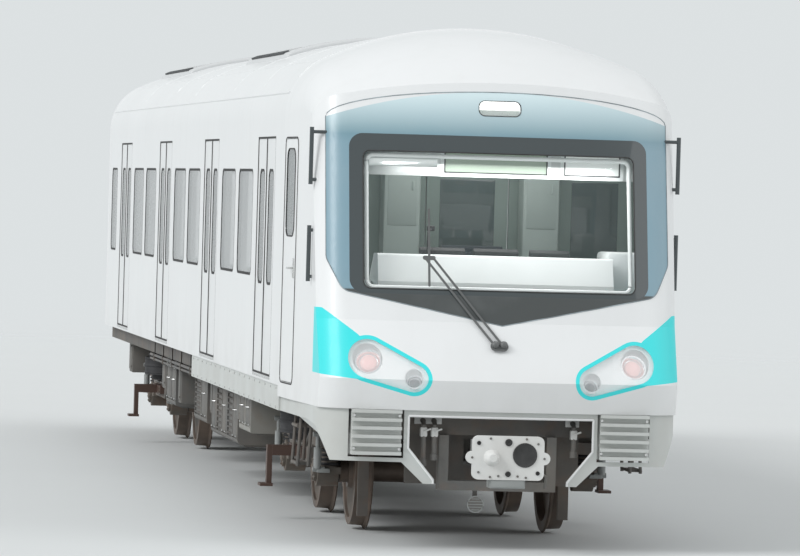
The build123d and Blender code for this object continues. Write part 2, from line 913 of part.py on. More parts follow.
# Bulkhead behind the cab
with BuildPart() as cab_partition:
    with BuildSketch(cross_plane(station(partition_start))):
        with Locations((0, level(floor_height + roof_height / 2))):
            Rectangle(body_width, roof_height)
        with Locations((0, level(floor_height) + cab_way_height / 2)):
            Rectangle(cab_way_width, cab_way_height, mode=Mode.SUBTRACT)
    extrude(amount=-partition_thickness)
    add(hood_inner, mode=Mode.INTERSECT)
    add(
        hinge_bracket(
            way_hinge_x,
            way_hinge_y,
            way_leaf_high + move_gap,
            0,
            -partition_hinge_offset - bracket_bite,
        )
    )

finish(cab_partition, "cab_partition")

with BuildPart() as partition_door:
    with BuildSketch(cross_plane(partition_rear)):
        with Locations((0, (way_leaf_low + way_leaf_high) / 2)):
            Rectangle(2 * way_leaf_half, way_leaf_high - way_leaf_low)
    extrude(amount=partition_thickness)
    add(hinge_barrel_and_pin(way_hinge_x, way_hinge_y, way_leaf_low, way_leaf_high, move_gap))

finish(partition_door, "partition_door")

# Front valance: curved sheet under the hood round the coupler opening
valance_inset = 25
valance_sheet = 20
valance_flare = 55
valance_bottom = 440
valance_points = [
    (0, hood_bottom),
    (1450, hood_bottom),
    (1450, 870),
    (1330, 870),
    (1225, 602),
    (720, 602),
    (560, 450),
    (490, 450),
    (490, 480),
    (675, 705),
    (675, 940),
    (0, 940),
]
climber_x = (725, 1085)
climber_z = (650, 978)
climber_front = 105
climber_gap = 18
rib_count = 6
rib_height = 24
rib_reach = 42


def valance_plan(inset):
    return arch(
        face_half_width,
        -station(face_plans[0][1]),
        face_radius,
        face_corner_radius,
        -station(cab_length),
        inset,
        valance_flare,
    )


climber_middle = ((climber_x[0] + climber_x[1]) / 2, level((climber_z[0] + climber_z[1]) / 2))
with BuildSketch() as climber_outline:
    with Locations(climber_middle, (-climber_middle[0], climber_middle[1])):
        Rectangle(
            climber_x[1] - climber_x[0] + 2 * climber_gap, climber_z[1] - climber_z[0] + 2 * climber_gap
        )

with BuildSketch() as valance_outline:
    add(polygon([(x, level(z)) for x, z in valance_points]))
    mirror(about=Plane.YZ)
    add(climber_outline.sketch, mode=Mode.SUBTRACT)

with BuildPart() as front_valance:
    with BuildSketch(plan_plane(level(hood_bottom))):
        add(valance_plan(valance_inset))
        add(valance_plan(valance_inset + valance_sheet), mode=Mode.SUBTRACT)
    extrude(amount=hood_bottom - valance_bottom)
    add(front_prism(valance_outline.sketch, prism_start, cab_length - prism_start), mode=Mode.INTERSECT)

finish(front_valance, "front_valance")

# Anti-climbers: ribbed blocks on the end beam
rib_pitch = (climber_z[1] - climber_z[0] - 2 * seat_gap - rib_height) / (rib_count - 1)
climber_width = climber_x[1] - climber_x[0] - 2 * seat_gap
climber_height = climber_z[1] - climber_z[0] - 2 * seat_gap
climber_places = [side * climber_middle[0] for side in (-1, 1)]
with BuildPart() as anti_climbers:
    with BuildSketch(cross_plane(station(climber_front + rib_reach))):
        with Locations([(x, climber_middle[1]) for x in climber_places]):
            Rectangle(climber_width, climber_height)
    extrude(amount=-(beam_start - climber_front - rib_reach))
    with BuildSketch(cross_plane(station(climber_front))):
        for i in range(rib_count):
            z = level(climber_z[0]) + seat_gap + rib_height / 2 + i * rib_pitch
            with Locations([(x, z) for x in climber_places]):
                Rectangle(climber_width, rib_height)
    extrude(amount=-rib_reach)

finish(anti_climbers, "anti_climbers")

# Side skirts under the front half of the side walls
skirt_bottom = 870
skirt_end = 9500
skirt_inset = 12
skirt_thickness = 25
skirt_x = half_width - skirt_inset - skirt_thickness / 2
with BuildPart() as side_skirts:
    with BuildSketch(Plane.XY.offset(level(skirt_bottom))):
        with Locations([(side * skirt_x, station((cab_length + skirt_end) / 2)) for side in (-1, 1)]):
            Rectangle(skirt_thickness, skirt_end - cab_length)
    extrude(amount=sill_height - skirt_bottom)

finish(side_skirts, "side_skirts")

# Front coupler: flanged head with cone and funnel, shank and eye
coupler_face = -270
head_length = 230
face_thickness = 45
face_width = 520
face_height = 315
face_corner = 45
funnel_place = (120, 23)
funnel_radius = 72
funnel_depth = 140
cone_place = (-120, 0)
cone_base = 60
cone_tip = 28
head_width = 400
head_height = 250
shank_radius = 72

coupler_z = level(coupler_level)
with BuildPart() as coupler:
    with BuildSketch(cross_plane(station(coupler_face))):
        with Locations((0, coupler_z)):
            RectangleRounded(face_width, face_height, face_corner)
        with Locations((face_width / 2, coupler_z), (-face_width / 2, coupler_z)):
            Circle(face_corner)
    extrude(amount=-face_thickness)
    with BuildSketch(cross_plane(station(coupler_face + face_thickness))):
        with Locations((0, coupler_z)):
            RectangleRounded(head_width, head_height, face_corner)
    with BuildSketch(cross_plane(station(coupler_face + head_length + face_thickness))):
        with Locations((0, coupler_z)):
            RectangleRounded(head_width / 2, head_height * 0.7, face_corner)
    loft()
    with BuildSketch(cross_plane(station(coupler_face + head_length))):
        with Locations((0, coupler_z)):
            Circle(shank_radius)
    extrude(amount=-(coupler_pivot - coupler_face - head_length))
    with BuildSketch(Plane.XY.offset(coupler_z - eye_half)):
        with Locations((0, station(coupler_pivot))):
            Circle(eye_radius)
    extrude(amount=2 * eye_half)
    with BuildSketch(cross_plane(station(coupler_face))):
        with Locations((cone_place[0], coupler_z + cone_place[1])):
            Circle(cone_base)
    with BuildSketch(cross_plane(station(-coupler_reach))):
        with Locations((cone_place[0], coupler_z + cone_place[1])):
            Circle(cone_tip)
    loft()
    with BuildSketch(cross_plane(station(coupler_face))):
        with Locations((funnel_place[0], coupler_z + funnel_place[1])):
            Circle(funnel_radius)
    extrude(amount=-funnel_depth, mode=Mode.SUBTRACT)
    with BuildSketch(Plane.XY.offset(coupler_z - eye_half)):
        with Locations((0, station(coupler_pivot))):
            Circle(pivot_pin_radius + pin_gap)
    extrude(amount=2 * eye_half, mode=Mode.SUBTRACT)

finish(coupler, "coupler")

# Rear drawbar with a bolted flange
drawbar_radius = 62
flange_radius = 135
flange_thickness = 40
flange_bolt_circle = 200
flange_bolt_count = 8
flange_bolt_radius = 13
with BuildPart() as drawbar:
    with BuildSketch(cross_plane(station(drawbar_pivot))):
        with Locations((0, coupler_z)):
            Circle(drawbar_radius)
    extrude(amount=-(body_length + gangway_reach - drawbar_pivot))
    with BuildSketch(Plane.XY.offset(coupler_z - eye_half)):
        with Locations((0, station(drawbar_pivot))):
            Circle(eye_radius)
    extrude(amount=2 * eye_half)
    with BuildSketch(cross_plane(rear_y + gangway_reach - flange_thickness)):
        with Locations((0, coupler_z)):
            Circle(flange_radius)
            with PolarLocations(flange_bolt_circle / 2, flange_bolt_count):
                Circle(flange_bolt_radius, mode=Mode.SUBTRACT)
    extrude(amount=-flange_thickness)
    with BuildSketch(Plane.XY.offset(coupler_z - eye_half)):
        with Locations((0, station(drawbar_pivot))):
            Circle(pivot_pin_radius + pin_gap)
    extrude(amount=2 * eye_half, mode=Mode.SUBTRACT)

finish(drawbar, "drawbar")

# Cradle that the coupler swings over, hung from the end beam, with a horn below it
cradle_start = 260
cradle_depth = 140
cradle_half = 430
cradle_bar = 70
cradle_low = 400
horn_place = (-150, 300)
horn_radius = 62
horn_depth = 110
horn_inset = 20
stem_inset = 60
stem_width = 30
stem_depth = 40
with BuildPart() as coupler_cradle:
    with BuildSketch(cross_plane(station(cradle_start))):
        with Locations((0, level((cradle_low + beam_bottom) / 2))):
            Rectangle(2 * cradle_half, beam_bottom - cradle_low)
        with Locations((0, level((cradle_low + cradle_bar + beam_bottom) / 2))):
            Rectangle(
                2 * (cradle_half - cradle_bar), beam_bottom - cradle_low - cradle_bar, mode=Mode.SUBTRACT
            )
    extrude(amount=-cradle_depth)
    with BuildSketch(cross_plane(station(cradle_start + horn_inset))):
        with Locations((horn_place[0], level(horn_place[1]))):
            Circle(horn_radius)
    with BuildSketch(cross_plane(station(cradle_start + horn_inset + horn_depth))):
        with Locations((horn_place[0], level(horn_place[1]))):
            Circle(horn_radius / 2)
    loft()
    with BuildSketch(cross_plane(station(cradle_start + stem_inset))):
        with Locations((horn_place[0], level((horn_place[1] + cradle_low) / 2))):
            Rectangle(stem_width, cradle_low - horn_place[1])
    extrude(amount=-stem_depth)

finish(coupler_cradle, "coupler_cradle")

# Wheelsets: an axle and two wheels in one piece, turned about X
tread_taper = 6
flange_thick = 32
flange_bevel = 12
axle_overhang = 62
journal_relief = 20
collar_step = 10
hub_reach = 15
web_root = 25
web_outer = 0.62 * wheel_width

rim_inner = wheel_radius - rim_depth
wheel_inner_x = wheel_spacing / 2
wheel_outer_x = wheel_inner_x + wheel_width
web_outer_x = wheel_inner_x + web_outer
web_inner_x = web_outer_x - web_thickness
journal_start = frame_centre - journal_length / 2 - journal_relief
# Half profile of the set: distance from the middle, radius
half_profile = [
    (frame_centre + axle_overhang, 0),
    (frame_centre + axle_overhang, journal_radius),
    (journal_start, journal_radius),
    (journal_start, axle_radius + collar_step),
    (wheel_outer_x + hub_reach, axle_radius + collar_step),
    (wheel_outer_x + hub_reach, hub_radius),
    (web_outer_x, hub_radius + web_root),
    (web_outer_x, rim_inner - web_root),
    (wheel_outer_x, rim_inner),
    (wheel_outer_x, wheel_radius - tread_taper),
    (wheel_inner_x + flange_thick, wheel_radius),
    (wheel_inner_x + flange_bevel, wheel_radius + flange_height),
    (wheel_inner_x, wheel_radius + flange_height - flange_bevel),
    (wheel_inner_x, rim_inner),
    (web_inner_x, rim_inner - web_root),
    (web_inner_x, hub_radius + web_root),
    (wheel_inner_x - collar_step, hub_radius),
    (wheel_inner_x - collar_step, axle_radius),
]

axle_z = level(wheel_radius)
axle_stations = [(pivot + side * wheelbase / 2) for pivot in pivots for side in (-1, 1)]
for i, axle_y in enumerate(axle_stations):
    with BuildPart() as wheelset:
        with BuildSketch(Plane(origin=(0, axle_y, axle_z), x_dir=(1, 0, 0), z_dir=(0, -1, 0))):
            with BuildLine():
                Polyline(*half_profile, *[(-x, r) for x, r in reversed(half_profile)], close=True)
            make_face()
        revolve(axis=Axis((0, axle_y, axle_z), (1, 0, 0)))
    finish(wheelset, f"wheelset_{i + 1}")

# Bogies
frame_reach = wheelbase / 2 + 330
frame_slope = 30
seat_top = frame_top - frame_drop + frame_slope
frame_under = frame_top - frame_depth + 10
drop_under = seat_top - frame_depth - 20
frame_bend = 60
# Side frame outline: distance from the bogie's centre, height; the middle drops under the air springs
side_frame = [
    (frame_reach, frame_top),
    (800, frame_top),
    (520, seat_top),
    (-520, seat_top),
    (-800, frame_top),
    (-frame_reach, frame_top),
    (-frame_reach, frame_under),
    (-850, frame_under),
    (-500, drop_under),
    (500, drop_under),
    (850, frame_under),
    (frame_reach, frame_under),
]
transom_bottom = 440
transom_height = 150
centre_block = 520
guard_clear = 40
guard_bottom = 100
guard_arm_depth = 90

# Air springs: height of the foot and of the neck, and their radii as parts of the bellows' radius
spring_foot = 50
spring_neck = 45
foot_radius = 0.7 * air_spring_radius
neck_radius = 0.85 * air_spring_radius

# Axle boxes
box_half_width = 80
box_radius = 125
box_end_wall = 12
box_cover_radius = 92
box_cover_depth = 24
wing_half = 250
wing_height = 50
wing_top = 450
spring_radius = 68
spring_offset = 165

# Tread brakes
shoe_gap = move_gap
shoe_width = 80
shoe_thickness = 50
shoe_holder = 90
shoe_height = 300
brake_case_width = 150
brake_case_height = 200
brake_case_level = 500
shoe_x = wheel_inner_x + flange_thick + 15 + shoe_width / 2

# Current collectors: mounting beam, arm, post and shoe
beam_size = (40, 840, 80)
beam_level = 470
arm_size = (180, 110)
post_size = (40, 90)
pad_size = (100, 190, 22)
pad_shift = 25
collector_drop = 230

for place, pivot in zip(("front", "rear"), pivots):
    with BuildPart() as bogie_frame:
        with BuildSketch(Plane.YZ.offset(frame_centre - frame_width / 2)):
            frame_points = [(pivot + y, level(z)) for y, z in side_frame]
            add(polygon(frame_points, frame_bend, [1, 2, 3, 4, 7, 8, 9, 10]))
        extrude(amount=frame_width)
        mirror(about=Plane.YZ)
        with BuildSketch(Plane.XY.offset(level(transom_bottom))):
            with Locations((0, pivot - transom_spread), (0, pivot + transom_spread)):
                Rectangle(2 * frame_centre, transom_width)
            with Locations((0, pivot)):
                Rectangle(centre_block, 2 * transom_spread)
                Circle(centre_pin_radius + pin_gap, mode=Mode.SUBTRACT)
        extrude(amount=transom_height)
        if place == "front":
            guard_y = pivot - wheelbase / 2 - wheel_radius - flange_height - guard_clear
            arm_start = pivot - frame_reach
            with BuildSketch(Plane.XY.offset(level(frame_under))):
                with Locations([(side * frame_centre, (guard_y + arm_start) / 2) for side in (-1, 1)]):
                    Rectangle(frame_width / 2, arm_start - guard_y)
                with Locations([(side * (frame_centre + shoe_x) / 2, guard_y) for side in (-1, 1)]):
                    Rectangle(frame_centre - shoe_x + shoe_width, guard_clear)
            extrude(amount=guard_arm_depth)
            with BuildSketch(Plane.XY.offset(level(guard_bottom))):
                with Locations([(side * shoe_x, guard_y) for side in (-1, 1)]):
                    Rectangle(shoe_width, guard_clear)
            extrude(amount=frame_under - guard_bottom)
    finish(bogie_frame, f"bogie_frame_{place}")

    with BuildPart() as air_springs:
        neck_start = bolster_bottom - spring_neck
        for low, high, radius in (
            (seat_top, seat_top + spring_foot, foot_radius),
            (seat_top + spring_foot, neck_start, air_spring_radius),
            (neck_start, bolster_bottom - move_gap, neck_radius),
        ):
            with BuildSketch(Plane.XY.offset(level(low))):
                with Locations([(side * frame_centre, pivot) for side in (-1, 1)]):
                    Circle(radius)
            extrude(amount=high - low)
    finish(air_springs, f"air_springs_{place}")

    with BuildPart() as axle_boxes:
        for axle_y in (pivot - wheelbase / 2, pivot + wheelbase / 2):
            with BuildSketch(Plane.YZ.offset(frame_centre - box_half_width)):
                with Locations((axle_y, axle_z)):
                    Circle(box_radius)
                with Locations((axle_y, level(wing_top - wing_height / 2))):
                    Rectangle(2 * wing_half, wing_height)
            extrude(amount=2 * box_half_width)
            with BuildSketch(Plane.YZ.offset(frame_centre - box_half_width)):
                with Locations((axle_y, axle_z)):
                    Circle(journal_radius + pin_gap)
            extrude(amount=2 * box_half_width - box_end_wall, mode=Mode.SUBTRACT)
            with BuildSketch(Plane.YZ.offset(frame_centre + box_half_width)):
                with Locations((axle_y, axle_z)):
                    Circle(box_cover_radius)
            extrude(amount=box_cover_depth)
            with BuildSketch(Plane.XY.offset(level(wing_top))):
                with Locations([(frame_centre, axle_y + side * spring_offset) for side in (-1, 1)]):
                    Circle(spring_radius)
            extrude(amount=frame_under - wing_top)
        mirror(about=Plane.YZ)
    finish(axle_boxes, f"axle_boxes_{place}")

    with BuildPart() as brake_units:
        for side in (-1, 1):
            axle_y = pivot + side * wheelbase / 2
            shoe_back = axle_y - side * (wheel_radius + shoe_gap + shoe_thickness)
            transom_face = pivot + side * (transom_spread + transom_width / 2)
            with BuildSketch(Plane.YZ.offset(shoe_x - shoe_width / 2)):
                with Locations((axle_y - side * (wheel_radius + shoe_thickness / 2), axle_z)):
                    Rectangle(shoe_thickness + shoe_holder, shoe_height)
                with Locations((axle_y, axle_z)):
                    Circle(wheel_radius + shoe_gap, mode=Mode.SUBTRACT)
            extrude(amount=shoe_width)
            with BuildSketch(Plane.YZ.offset(shoe_x - brake_case_width / 2)):
                with Locations(((shoe_back + transom_face) / 2, level(brake_case_level))):
                    Rectangle(abs(shoe_back - transom_face), brake_case_height)
            extrude(amount=brake_case_width)
        mirror(about=Plane.YZ)
    finish(brake_units, f"brake_units_{place}")

    with BuildPart() as collector_shoes:
        arm_x = frame_centre + frame_width / 2 + beam_size[0]
        post_x = arm_x + arm_size[0]
        with BuildSketch(Plane.XY.offset(level(beam_level))):
            with Locations((arm_x - beam_size[0] / 2, pivot)):
                Rectangle(beam_size[0], beam_size[1])
            with Locations((arm_x + arm_size[0] / 2, pivot)):
                Rectangle(*arm_size)
        extrude(amount=beam_size[2])
        with BuildSketch(Plane.XY.offset(level(collector_drop))):
            with Locations((post_x + post_size[0] / 2, pivot)):
                Rectangle(*post_size)
        extrude(amount=beam_level + beam_size[2] - collector_drop)
        with BuildSketch(Plane.XY.offset(level(collector_drop))):
            with Locations((post_x + post_size[0] / 2 + pad_shift, pivot)):
                Rectangle(*pad_size[:2])
        extrude(amount=pad_size[2])
        mirror(about=Plane.YZ)
    finish(collector_shoes, f"collector_shoes_{place}")

# Equipment under the floor, hung from the sole bars
# Name, inner x, outer x, start and end behind the nose tip, bottom height, corner radius, both sides
cases = (
    ("battery_boxes", 520, 1290, 5270, 6190, 560, 20, True),
    ("auxiliary_converter", 0, 1250, 6700, 9000, 400, 45, False),
    ("compressor_unit", 0, 1240, 9500, 10700, 450, 30, False),
    ("brake_control_case", 0, 1250, 12500, 13500, 480, 30, False),
)
panel_pitch = 480
panel_margin = 45
panel_depth = 14
for name, inner, outer, start, end, bottom, corner, pair in cases:
    case_y = station((start + end) / 2)
    panel_count = round((end - start) / panel_pitch)
    panel_step = (end - start) / panel_count
    panel_z = level((bottom + sole_bottom) / 2)
    with BuildPart() as case:
        with BuildSketch(Plane.XY.offset(level(bottom))):
            if pair:
                with Locations([(side * (inner + outer) / 2, case_y) for side in (-1, 1)]):
                    Rectangle(outer - inner, end - start)
            else:
                with Locations((0, case_y)):
                    Rectangle(2 * outer, end - start)
        extrude(amount=sole_bottom - bottom)
        fillet(case.edges().filter_by(Axis.Y).group_by(Axis.Z)[0], corner)
        for side in (-1, 1):
            with BuildSketch(Plane.YZ.offset(side * outer)):
                with Locations((case_y, panel_z)):
                    with GridLocations(panel_step, panel_margin, panel_count, 1):
                        Rectangle(panel_step - panel_margin, sole_bottom - bottom - 2 * panel_margin)
            extrude(amount=-side * panel_depth, mode=Mode.SUBTRACT)
    finish(case, name)

# Air reservoirs in hanger bands
reservoir_radius = 150
reservoir_x = (-750, 0, 750)
reservoir_span = (10980, 12120)
reservoir_level = 730
reservoir_dish = 50
band_stations = (11200, 11900)
band_width = 50
band_thickness = 8
strap_width = 120
with BuildPart() as air_reservoirs:
    with BuildSketch(cross_plane(station(reservoir_span[0]))):
        with Locations([(x, level(reservoir_level)) for x in reservoir_x]):
            Circle(reservoir_radius)
    extrude(amount=-(reservoir_span[1] - reservoir_span[0]))
    chamfer(air_reservoirs.edges().filter_by(GeomType.CIRCLE), reservoir_dish)
    for distance in band_stations:
        with BuildSketch(cross_plane(station(distance))):
            with Locations([(x, level(reservoir_level)) for x in reservoir_x]):
                Circle(reservoir_radius + band_thickness)
            with Locations([(x, level((reservoir_level + floor_under) / 2)) for x in reservoir_x]):
                Rectangle(strap_width, floor_under - reservoir_level)
        extrude(amount=-band_width)

finish(air_reservoirs, "air_reservoirs")

# Driver's console across the cab
console_half = 870
console_profile = [
    (580, floor_height),
    (580, 1900),
    (660, 2100),
    (880, 2100),
    (1180, 1880),
    (1200, 1810),
    (1000, 1760),
    (960, floor_height),
]
with BuildPart() as console:
    with BuildSketch(Plane.YZ.offset(-console_half)):
        add(polygon([(station(y), level(z)) for y, z in console_profile], 20, [2, 3, 4, 5]))
    extrude(amount=2 * console_half)

finish(console, "console")

# Driver's seat: pedestal, cushion and leaning back
seat_station = 1650
seat_profile = [
    (-240, 430),
    (-220, 520),
    (150, 500),
    (240, 1060),
    (310, 1060),
    (250, 430),
]
seat_half = 230
seat_edge = 28
seat_foot_radius = 150
seat_foot_height = 30
seat_post_radius = 60
seat_post_height = 450
with BuildPart() as driver_seat:
    with BuildSketch(Plane.YZ.offset(-seat_half)):
        seat_points = [(station(seat_station + y), level(floor_height + z)) for y, z in seat_profile]
        add(polygon(seat_points, seat_edge))
    extrude(amount=2 * seat_half)
    with BuildSketch(Plane.XY.offset(level(floor_height))):
        with Locations((0, station(seat_station))):
            Circle(seat_foot_radius)
    extrude(amount=seat_foot_height)
    with BuildSketch(Plane.XY.offset(level(floor_height))):
        with Locations((0, station(seat_station))):
            Circle(seat_post_radius)
    extrude(amount=seat_post_height)

finish(driver_seat, "driver_seat")

# Header behind the windscreen with the destination and notice displays
header_half = 1130
header_z = (2675, 2905)
header_y = (770, 860)
hanger_x = 480
hanger_width = 60
display_places = ((0, 385), (715, 210))
display_height = 160
display_level = 2780
display_depth = 25
display_inset = 5
with BuildPart() as display_header:
    with BuildSketch(Plane.XY.offset(level(header_z[0]))):
        with Locations((0, station(sum(header_y) / 2))):
            Rectangle(2 * header_half, header_y[1] - header_y[0])
    extrude(amount=header_z[1] - header_z[0])
    with BuildSketch(Plane.XY.offset(level(header_z[1]))):
        with Locations([(side * hanger_x, station(sum(header_y) / 2)) for side in (-1, 1)]):
            Rectangle(hanger_width, header_y[1] - header_y[0])
    extrude(amount=roof_height - header_z[1])
    add(hood_inner, mode=Mode.INTERSECT)
    with BuildSketch(cross_plane(station(header_y[0]))):
        for x, half in display_places:
            with Locations((x, level(display_level))):
                Rectangle(2 * half, display_height)
    extrude(amount=-display_depth, mode=Mode.SUBTRACT)

finish(display_header, "display_header")

with BuildPart() as displays:
    with BuildSketch(cross_plane(station(header_y[0] + display_inset))):
        for x, half in display_places:
            with Locations((x, level(display_level))):
                Rectangle(2 * (half - seat_gap), display_height - 2 * seat_gap)
    extrude(amount=-(display_depth - display_inset))

finish(displays, "displays")

# Saloon ceiling
lining = half_width - wall - seat_gap
ceiling_thickness = 20
ceiling_level = 3180
ceiling_foot = 2990
ceiling_flat = 900
ceiling_points = [
    (-lining, level(ceiling_foot)),
    (-ceiling_flat, level(ceiling_level)),
    (ceiling_flat, level(ceiling_level)),
    (lining, level(ceiling_foot)),
    (lining, level(ceiling_foot) + ceiling_thickness),
    (ceiling_flat, level(ceiling_level) + ceiling_thickness),
    (-ceiling_flat, level(ceiling_level) + ceiling_thickness),
    (-lining, level(ceiling_foot) + ceiling_thickness),
]
with BuildPart() as ceiling:
    with BuildSketch(cross_plane(station(cab_length) + seat_gap)):
        add(polygon(ceiling_points))
    extrude(amount=-(saloon_length - wall - 2 * seat_gap))

finish(ceiling, "ceiling")

# Saloon seats along the walls and the poles at their ends
bench_margin = 120
bench_bays = [
    (door_centres[i] + door_width / 2 + bench_margin, door_centres[i + 1] - door_width / 2 - bench_margin)
    for i in range(door_count - 1)
]
bench_bays.append((door_centres[-1] + door_width / 2 + bench_margin, body_length - wall - bench_margin))
# Bench section: x, height above the floor
bench_profile = [
    (lining, 800),
    (1275, 800),
    (1235, 430),
    (900, 445),
    (885, 405),
    (1180, 345),
    (lining, 240),
]
with BuildPart() as seats:
    for start, end in bench_bays:
        with BuildSketch(cross_plane(station(start))):
            add(polygon([(x, level(floor_height + z)) for x, z in bench_profile], 14, [1, 2, 3, 4]))
            mirror(about=Plane.YZ)
        extrude(amount=-(end - start))

finish(seats, "seats")

pole_radius = 17
rail_radius = 15
pole_x = 860
pole_clear = 60
rail_level = 2950
with BuildPart() as grab_poles:
    for start, end in bench_bays:
        ends = (start - pole_clear, end + pole_clear)
        with BuildSketch(Plane.XY.offset(level(floor_height))):
            with Locations([(side * pole_x, station(y)) for side in (-1, 1) for y in ends]):
                Circle(pole_radius)
        extrude(amount=ceiling_level - floor_height)
        with BuildSketch(cross_plane(station(ends[0]))):
            with Locations([(side * pole_x, level(rail_level)) for side in (-1, 1)]):
                Circle(rail_radius)
        extrude(amount=-(ends[1] - ends[0]))

finish(grab_poles, "grab_poles")
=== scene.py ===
import json
from math import cos, hypot, pi, radians, sin, tan

import bmesh
import bpy
from bpy.props import FloatProperty, FloatVectorProperty, IntProperty, PointerProperty
from mathutils import Matrix, Vector
from mathutils.bvhtree import BVHTree


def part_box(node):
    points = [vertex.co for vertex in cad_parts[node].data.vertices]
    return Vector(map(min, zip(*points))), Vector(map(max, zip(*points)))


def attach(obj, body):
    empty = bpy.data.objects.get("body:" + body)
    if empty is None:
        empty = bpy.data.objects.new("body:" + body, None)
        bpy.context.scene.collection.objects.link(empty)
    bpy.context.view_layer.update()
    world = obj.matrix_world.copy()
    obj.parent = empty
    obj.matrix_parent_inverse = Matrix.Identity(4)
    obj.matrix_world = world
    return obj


bl_info = {
    "name": "Metro cab car",
    "version": (1, 0, 0),
    "blender": (4, 5, 0),
    "location": "3D View > Sidebar > Metro car",
    "description": "Dresses the packed metro car with finishes, fittings, cab, saloon and a plain studio",
    "category": "Object",
}

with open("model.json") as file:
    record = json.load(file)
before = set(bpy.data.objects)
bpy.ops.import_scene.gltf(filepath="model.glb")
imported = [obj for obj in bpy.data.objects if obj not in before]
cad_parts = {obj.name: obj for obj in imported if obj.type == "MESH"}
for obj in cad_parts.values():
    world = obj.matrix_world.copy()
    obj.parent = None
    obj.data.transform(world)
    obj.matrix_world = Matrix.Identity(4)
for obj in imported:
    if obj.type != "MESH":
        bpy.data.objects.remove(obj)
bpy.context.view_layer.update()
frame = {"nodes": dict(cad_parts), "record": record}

# Places that the frame gives: the nose, the rear end and the side planes. The rail lies a flange's height up
NOSE_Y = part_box("cab_shell")[0].y
REAR_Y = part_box("roof")[1].y
HALF_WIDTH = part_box("side_wall_right")[1].x
RAIL_Z = 0.028
# Heights above the rail that several fittings share: the axles' and the windscreen's middle
AXLE_LEVEL = 0.42
SCREEN_LEVEL = 2.35
HOOD_NODES = (
    "cab_shell", "front_mask", "windscreen_border", "windscreen",
    "marker_lamp", "headlamp_surrounds", "headlamp_lenses",
)
FORE, INWARD, DOWN = Vector((0.0, 1.0, 0.0)), Vector((-1.0, 0.0, 0.0)), Vector((0.0, 0.0, -1.0))


def station(distance):
    """Y of a place that lies this far behind the nose."""
    return NOSE_Y + distance


def level(height):
    """Z of a place that lies this high above the rail."""
    return RAIL_Z + height


def point(x, distance, height):
    """A point at this x, this far behind the nose and this high above the rail."""
    return (x, station(distance), level(height))


class Term:
    """A shader socket that takes part in arithmetic."""

    def __init__(self, finish, socket):
        self.finish = finish
        self.socket = socket

    def _math(self, operation, *others):
        inputs = dict(enumerate((self, *others)))
        return self.finish.node("ShaderNodeMath", {"operation": operation}, inputs)

    def __add__(self, other):
        return self._math("ADD", other)

    def __sub__(self, other):
        return self._math("SUBTRACT", other)

    def __mul__(self, other):
        return self._math("MULTIPLY", other)

    def __truediv__(self, other):
        return self._math("DIVIDE", other)

    def __pow__(self, other):
        return self._math("POWER", other)

    def __rsub__(self, other):
        return self.finish.node("ShaderNodeMath", {"operation": "SUBTRACT"}, {0: other, 1: self})

    __radd__ = __add__

    def ramp(self, low, high):
        """0 at low, 1 at high, and straight between them."""
        settings = {"clamp": True}
        return self.finish.node("ShaderNodeMapRange", settings, {0: self, 1: low, 2: high, 3: 0.0, 4: 1.0})

    def smallest(self, other):
        return self._math("MINIMUM", other)

    def size(self):
        return self._math("ABSOLUTE")

    def rest(self, period):
        """What is left of the value in each period, from 0 to the period."""
        return self._math("FLOORED_MODULO", period)


class Finish:
    """One material: its tree of nodes and the values that most finishes read."""

    def __init__(self, name):
        self.material = bpy.data.materials.new(name)
        self.material.use_nodes = True
        self.tree = self.material.node_tree
        self.tree.nodes.clear()

    def node(self, kind, settings=None, inputs=None, output=0):
        """Adds a node with its settings and inputs, and gives one of its outputs."""
        made = self.tree.nodes.new(kind)
        for key, value in (settings or {}).items():
            setattr(made, key, value)
        for key, value in (inputs or {}).items():
            if isinstance(value, Term):
                self.tree.links.new(value.socket, made.inputs[key])
            elif hasattr(value, "__len__") and len(value) == 3 and made.inputs[key].type == "RGBA":
                made.inputs[key].default_value = (*value, 1.0)
            else:
                made.inputs[key].default_value = value
        return Term(self, made.outputs[output])

    def place(self, stretch=(1.0, 1.0, 1.0)):
        """Object coordinates, squeezed along each axis."""
        at = self.node("ShaderNodeTexCoord", output="Object")
        return self.node("ShaderNodeVectorMath", {"operation": "MULTIPLY"}, {0: at, 1: stretch})

    def axis(self, name):
        return self.node("ShaderNodeSeparateXYZ", inputs={0: self.place()}, output=name)

    def noise(self, scale, detail=3.0, stretch=(1.0, 1.0, 1.0)):
        inputs = {"Vector": self.place(stretch), "Scale": scale, "Detail": detail}
        return self.node("ShaderNodeTexNoise", inputs=inputs, output="Fac")

    def mix(self, first, second, share):
        settings = {"data_type": "RGBA"}
        return self.node("ShaderNodeMix", settings, {0: share, 6: first, 7: second}, output=2)

    def bump(self, height, strength, distance):
        inputs = {"Height": height, "Strength": strength, "Distance": distance}
        return self.node("ShaderNodeBump", inputs=inputs, output="Normal")

    def surface(self, **sockets):
        """Ends the tree in a Principled shader; spaces in socket names are written as underscores."""
        inputs = {key.replace("_", " "): value for key, value in sockets.items()}
        shader = self.node("ShaderNodeBsdfPrincipled", inputs=inputs)
        end = self.tree.nodes.new("ShaderNodeOutputMaterial")
        self.tree.links.new(shader.socket, end.inputs["Surface"])
        return self.material


# Finishes


